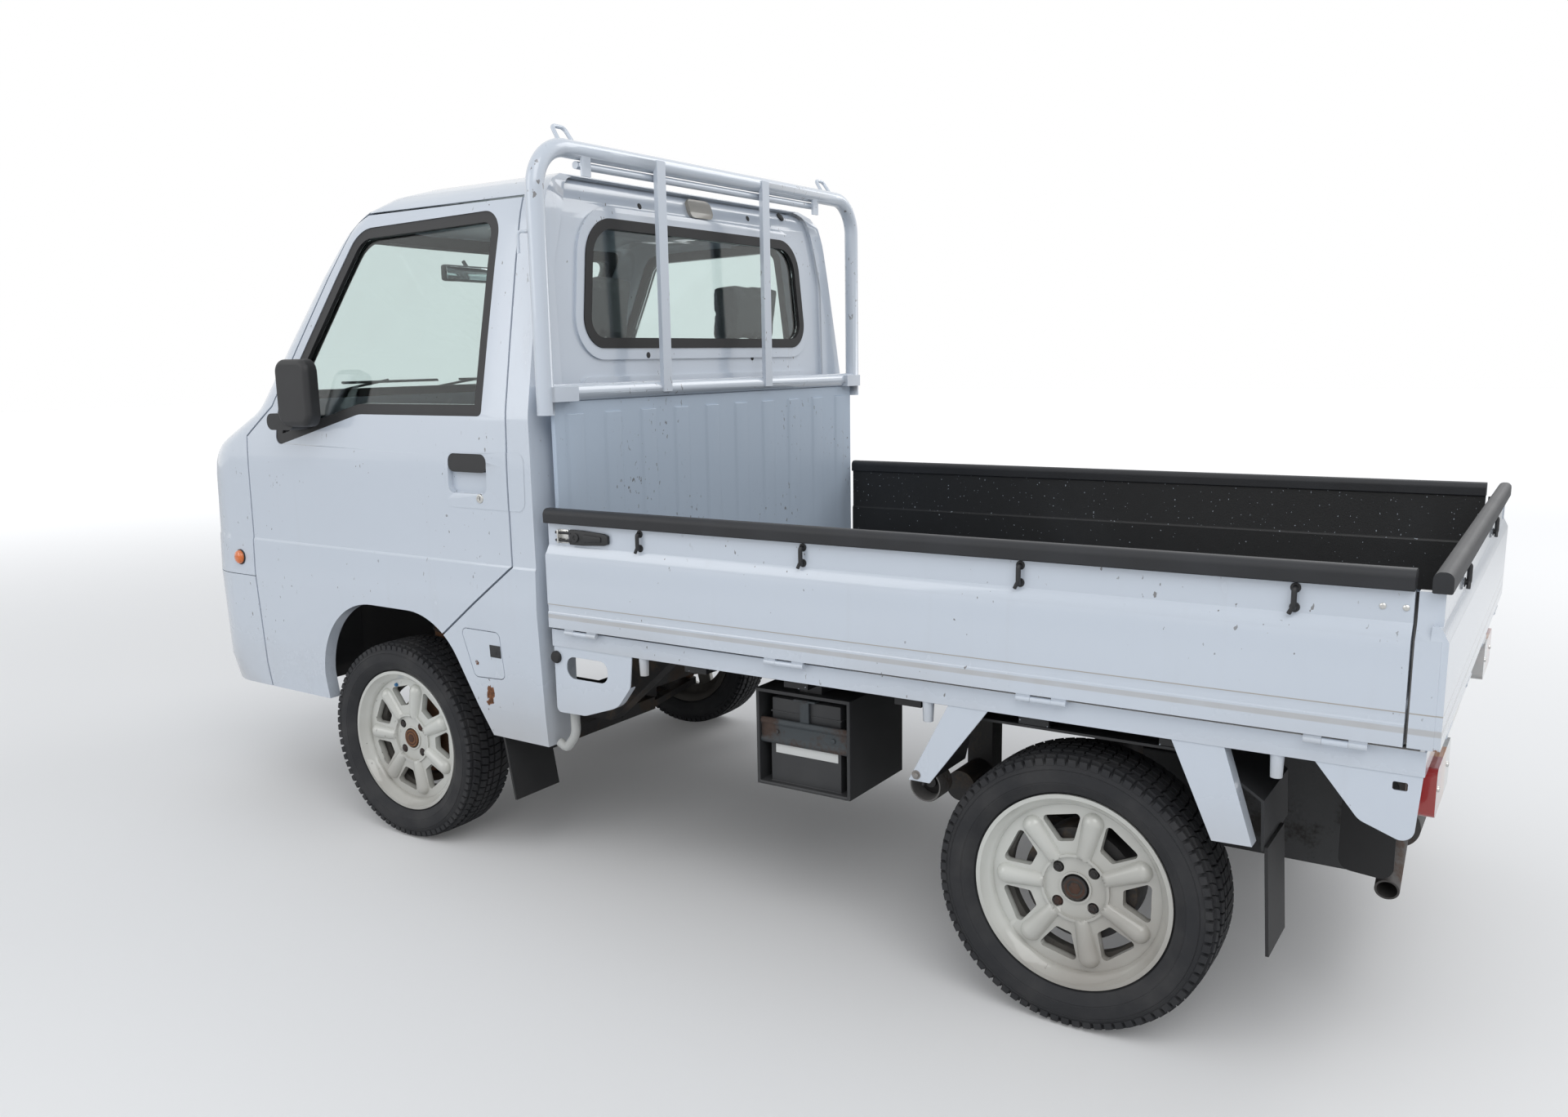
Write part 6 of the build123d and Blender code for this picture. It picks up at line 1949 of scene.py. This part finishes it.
@dataclass
class WheelFittings(Fitting):
    """Nuts in their wells, hub ends, tyre valves and the front springs' coils."""

    axles: tuple[tuple[str, float], ...] = (("front", 0.788), ("rear", -1.097))
    axle_z: float = 0.273
    bolt_circle: float = 0.050
    well_floor: float = 0.6475
    hub_face: float = 0.6382
    nut_seat: Outline = ((0, 0.0002), (0.0112, 0.0002), (0.0112, 0.0009), (0, 0.0009))
    nut_cap: Outline = ((0, 0.009), (0.0052, 0.009), (0.0045, 0.0108), (0, 0.0108))
    hub_end: Outline = (
        (0, 0.0002), (0.0262, 0.0002), (0.0262, 0.0030), (0.0245, 0.0046), (0.0235, 0.0046),
        (0.0235, 0.0180), (0.0215, 0.0218), (0.0165, 0.0226), (0.0150, 0.0212), (0, 0.0212),
    )
    valve_stem: Outline = (
        (0, 0.6180), (0.0075, 0.6180), (0.0070, 0.6260), (0.0040, 0.6320), (0.0035, 0.6540), (0, 0.6540),
    )
    valve_cap: Outline = ((0, 0.6500), (0.0052, 0.6500), (0.0052, 0.6600), (0.0040, 0.6625), (0, 0.6625))
    valve_radius: float = 0.1525
    valve_degrees: Spot = (72.0, 207.0)
    front_spring: tuple[Point, Point] = ((0.788, 0.494, 0.483), (0.788, 0.499, 0.612))
    spring_radius: float = 0.0415

    def _spot(self, x: float, radius: float, angle: float) -> Spot:
        """A place on a wheel's face, round the axle at an X."""
        return x + radius * math.cos(angle), self.axle_z + radius * math.sin(angle)

    def _wheel(self, axle: str, x: float, degrees: float, side: Side) -> None:
        """One wheel's nuts, valve and hub end.

        Args:
            axle: Front or rear.
            x: The axle's X.
            degrees: The valve's angle.
            side: The truck's side.
        """
        body = self.dresser.body_of(f"wheel_{axle}_{side.word}")
        nuts = Shape()
        place = face_y(self.well_floor)
        for quarter in range(4):
            middle = self._spot(x, self.bolt_circle, math.pi / 4 + quarter * math.pi / 2)
            nuts.turned(self.nut_seat, place, 24, middle)
            nuts.hexagon(0.0096, 0.0006, 0.0092, place, middle)
            nuts.turned(self.nut_cap, place, 16, middle)
        nuts.stand(f"nuts_{axle}_{side.word}", body, "bare_steel", NUT, side)
        middle = self._spot(x, self.valve_radius, math.radians(degrees))
        stem = Shape().turned(self.valve_stem, face_y(0.0), 16, middle)
        stem.stand(f"valve_{axle}_{side.word}", body, "black_rubber", SEAL, side)
        cap = Shape().turned(self.valve_cap, face_y(0.0), 12, middle)
        cap.stand(f"valve_cap_{axle}_{side.word}", body, "black_plastic", BLUE_CAP, side)
        carrier = self.dresser.body_of(f"knuckle_{side.word}") if axle == "front" else "truck"
        place = face_y(self.hub_face)
        hub = Shape()
        hub.turned(self.hub_end, place, 32, (x, self.axle_z))
        hub.hexagon(0.0125, 0.0205, 0.0236, place, (x, self.axle_z))
        hub.stand(f"hub_end_{axle}_{side.word}", carrier, "bare_steel", HUB, side)

    def _coil(self, name: str, foot: Point, head: Point, radius: float, body: str, side: Side) -> None:
        """A spring's wire along its tube, made by Geometry Nodes.

        Args:
            name: The piece's name.
            foot: The spring's lower end.
            head: Its upper end.
            radius: The coil's radius.
            body: The body that it moves with.
            side: The truck's side.
        """
        rise = Vector(head) - Vector(foot)
        wire = Coil(radius, rise.length).make(name, SPRING)
        turn = Vector((0, 0, 1)).rotation_difference(rise).to_matrix().to_4x4()
        wire.data.transform(Matrix.Translation(foot) @ turn)
        if side is Side.RIGHT:
            wire.data.transform(Matrix.Diagonal((1, -1, 1, 1)))
            wire.data.flip_normals()
        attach(wire, body)

    def build(self) -> None:
        """Fit all four wheels and the springs."""
        for side in Side:
            for (axle, x), degrees in zip(self.axles, self.valve_degrees):
                self._wheel(axle, x, degrees, side)
            knuckle = self.dresser.body_of(f"knuckle_{side.word}")
            low, high = self.front_spring
            self._coil(f"front_coil_{side.word}", low, high, self.spring_radius, knuckle, side)


@dataclass
class Coil:
    """A spring's wire made by Geometry Nodes."""

    radius: float
    height: float
    wire: float = 0.0055
    turns: float = 5.0
    steps: int = 28
    sides: int = 8

    def make(self, name: str, finish: Finish) -> bpy.types.Object:
        """Sweep a small circle along a helix.

        Args:
            name: The piece's name.
            finish: Its material.

        Returns:
            The finished mesh object, standing on the origin.
        """
        recipe = Recipe("coil_of_wire", {"Radius": "Float", "Height": "Float"})
        inputs = {
            "Resolution": self.steps,
            "Rotations": self.turns,
            "Start Radius": recipe.inputs["Radius"],
            "End Radius": recipe.inputs["Radius"],
            "Height": recipe.inputs["Height"],
        }
        helix = recipe.make("GeometryNodeCurveSpiral", {}, inputs)
        inputs = {"Resolution": self.sides, "Radius": self.wire}
        section = recipe.make("GeometryNodeCurvePrimitiveCircle", {}, inputs, "Curve")
        inputs = {"Curve": helix, "Profile Curve": section, "Fill Caps": True}
        wire = recipe.make("GeometryNodeCurveToMesh", {}, inputs)
        piece = recipe.bake(name, wire, finish, {"Radius": self.radius, "Height": self.height})
        piece.data.shade_smooth()
        return piece


@dataclass
class Pad:
    """One padded piece of a seat: a swollen closed form with sewn channels.

    Attributes:
        corners: Its side section's four corners (x, z): lower rear, lower front, upper front, upper rear.
        half: Half its width.
        channels: Sewn lines across the width, as shares of the way from the section's rear to its front.
        lines: Sewn lines along it, as distances from its middle.
        up: Whether the sat-on face is the top, else the front.
        shrink: The block's size before it swells, as a share of the CAD pad's.
        cap: How far a point may move as the pad swells.
        groove: Half the width of a sewn line.
        reach: How deep below the sat-on face a sewn line still presses.
        rim: How far from its ends a line along the pad stops.
    """

    name: str
    corners: Outline
    half: float
    channels: tuple[float, ...] = ()
    lines: tuple[float, ...] = ()
    up: bool = True
    shrink: float = 0.985
    voxel: float = 0.006
    cap: float = 0.012
    depth: float = 0.006
    groove: float = 0.006
    reach: float = 0.05
    rim: float = 0.04
    pressure: float = 4.0
    frames: int = 20

    def _place(self, along: float, across: float, height: float) -> Vector:
        """A point of the pad from shares of its section and of its half width.

        Args:
            along: The share of the way from rear to front.
            across: The share of half the width.
            height: The share of the way up.

        Returns:
            The point.
        """
        low_rear, low_front, high_front, high_rear = (Vector(c) for c in self.corners)
        low = low_rear.lerp(low_front, along)
        high = high_rear.lerp(high_front, along)
        point = low.lerp(high, height)
        return Vector((point.x, across * self.half, point.y))

    def _block(self) -> bmesh.types.BMesh:
        """A rounded closed block in the CAD pad's place.

        Returns:
            The mesh.
        """
        mesh = bmesh.new()
        bmesh.ops.create_cube(mesh, size=2.0)
        bmesh.ops.bevel(mesh, geom=mesh.edges[:], offset=0.16, segments=2, profile=0.6, affect="EDGES")
        for vert in mesh.verts:
            across, along, height = vert.co * self.shrink
            vert.co = self._place((along + 1) / 2, across, (height + 1) / 2)
        bmesh.ops.recalc_face_normals(mesh, faces=mesh.faces)
        return mesh

    def _swell(self, obj: bpy.types.Object) -> None:
        """Blow the pad up a little with Blender's cloth, and cap how far each point moves.

        Args:
            obj: The pad.
        """
        start = [v.co.copy() for v in obj.data.vertices]
        cloth = obj.modifiers.new("cloth", "CLOTH")
        cloth.settings.use_pressure = True
        cloth.settings.uniform_pressure_force = self.pressure
        cloth.settings.effector_weights.gravity = 0.0
        cloth.settings.quality = 4
        cloth.point_cache.frame_start = 1
        cloth.point_cache.frame_end = self.frames
        scene = bpy.context.scene
        for step in range(1, self.frames + 1):
            scene.frame_set(step)
        baked(obj)
        scene.frame_set(1)
        for vert, place in zip(obj.data.vertices, start):
            way = vert.co - place
            if way.length > self.cap:
                vert.co = place + way.normalized() * self.cap

    def _sew(self, obj: bpy.types.Object) -> None:
        """Press the sewn channels into the sat-on face.

        Args:
            obj: The pad.
        """
        low_rear, low_front, high_front, high_rear = (Vector(c) for c in self.corners)
        rear, front = (high_rear, high_front) if self.up else (low_front, high_front)
        run = (front - rear).normalized()
        length = (front - rear).length
        out = Vector((-run.y, run.x)) if self.up else Vector((run.y, -run.x))
        for vert in obj.data.vertices:
            place = Vector((vert.co.x, vert.co.z))
            height = (place - rear).dot(out)
            along = (place - rear).dot(run)
            near = max(0.0, 1 - max(0.0, -height) / self.reach)
            press = 0.0
            for share in self.channels:
                press = max(press, math.exp(-(((along - share * length) / self.groove) ** 2)))
            for line in self.lines:
                if self.rim < along < length - self.rim:
                    press = max(press, math.exp(-(((abs(vert.co.y) - line) / self.groove) ** 2)))
            vert.co.x -= out.x * press * near * self.depth
            vert.co.z -= out.y * press * near * self.depth

    def build(self, seat_y: float) -> list[bpy.types.Object]:
        """Make the pad and its copy for the other seat.

        Args:
            seat_y: The seats' distance from the truck's middle.

        Returns:
            The two pads.
        """
        base = mesh_object(self.name, self._block(), CLOTH, Level.SOFT)
        remesh = base.modifiers.new("remesh", "REMESH")
        remesh.mode = "VOXEL"
        remesh.voxel_size = self.voxel
        baked(base)
        smooth = base.modifiers.new("smooth", "SMOOTH")
        smooth.iterations = 8
        baked(base)
        self._swell(base)
        self._sew(base)
        base.data.materials.clear()
        base.data.materials.append(CLOTH.material())
        base.data.shade_smooth()
        pads = []
        for side in Side:
            data = base.data.copy()
            data.transform(Matrix.Translation((0, side.value * seat_y, 0)))
            pad = link(bpy.data.objects.new(f"{self.name}_{side.word}", data))
            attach(pad, "truck")
            pads.append(pad)
        bpy.data.objects.remove(base)
        return pads


@dataclass
class Seats(Fitting):
    """Two seats: cushions, backs and head rests as padded pieces, with the head rests' posts."""

    seat_y: float = 0.350
    half: float = 0.222
    rest_half: float = 0.128

    def build(self) -> None:
        """Make the seats."""
        pads = (
            Pad("seat_cushion", ((0.458, 0.674), (0.905, 0.674), (0.928, 0.800), (0.458, 0.786)), self.half,
                (0.30, 0.72), (0.125,)),
            Pad("seat_back", ((0.396, 0.724), (0.512, 0.744), (0.398, 1.326), (0.298, 1.326)), self.half,
                (0.28, 0.52, 0.76), (0.125,), up=False),
            Pad("head_rest", ((0.326, 1.336), (0.386, 1.336), (0.378, 1.494), (0.302, 1.494)), self.rest_half,
                (0.5,), (), up=False, cap=0.008),
        )
        first = True
        for pad in pads:
            for piece in pad.build(self.seat_y):
                if first:
                    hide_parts("seats")
                    first = False
        posts = Shape()
        for side in Side:
            for offset in (-0.05, 0.05):
                y = side.value * self.seat_y + offset
                posts.rod([(0.348, y, 1.30), (0.345, y, 1.36)], 0.006)
        posts.stand("head_rest_posts", "truck", "bare_steel", BRIGHT)


def main() -> None:
    """Build the picture."""
    logging.basicConfig(level=logging.INFO, format="%(name)s: %(message)s")
    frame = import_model()
    Studio().build()
    dresser = Dresser(frame)
    dresser.dress_all()
    LOG.info("dressed %d nodes", len(dresser.kept))
    tyre = Tyre()
    for axle in ("front", "rear"):
        for side in Side:
            tyre.build(dresser, f"tyre_{axle}_{side.word}")
    for kind in (GateFittings, CabFittings, BedFittings, BatteryDress, WheelFittings, Seats):
        kind(dresser).build()
        LOG.info("built %s", kind.__name__)


if __name__ == "__main__":
    main()
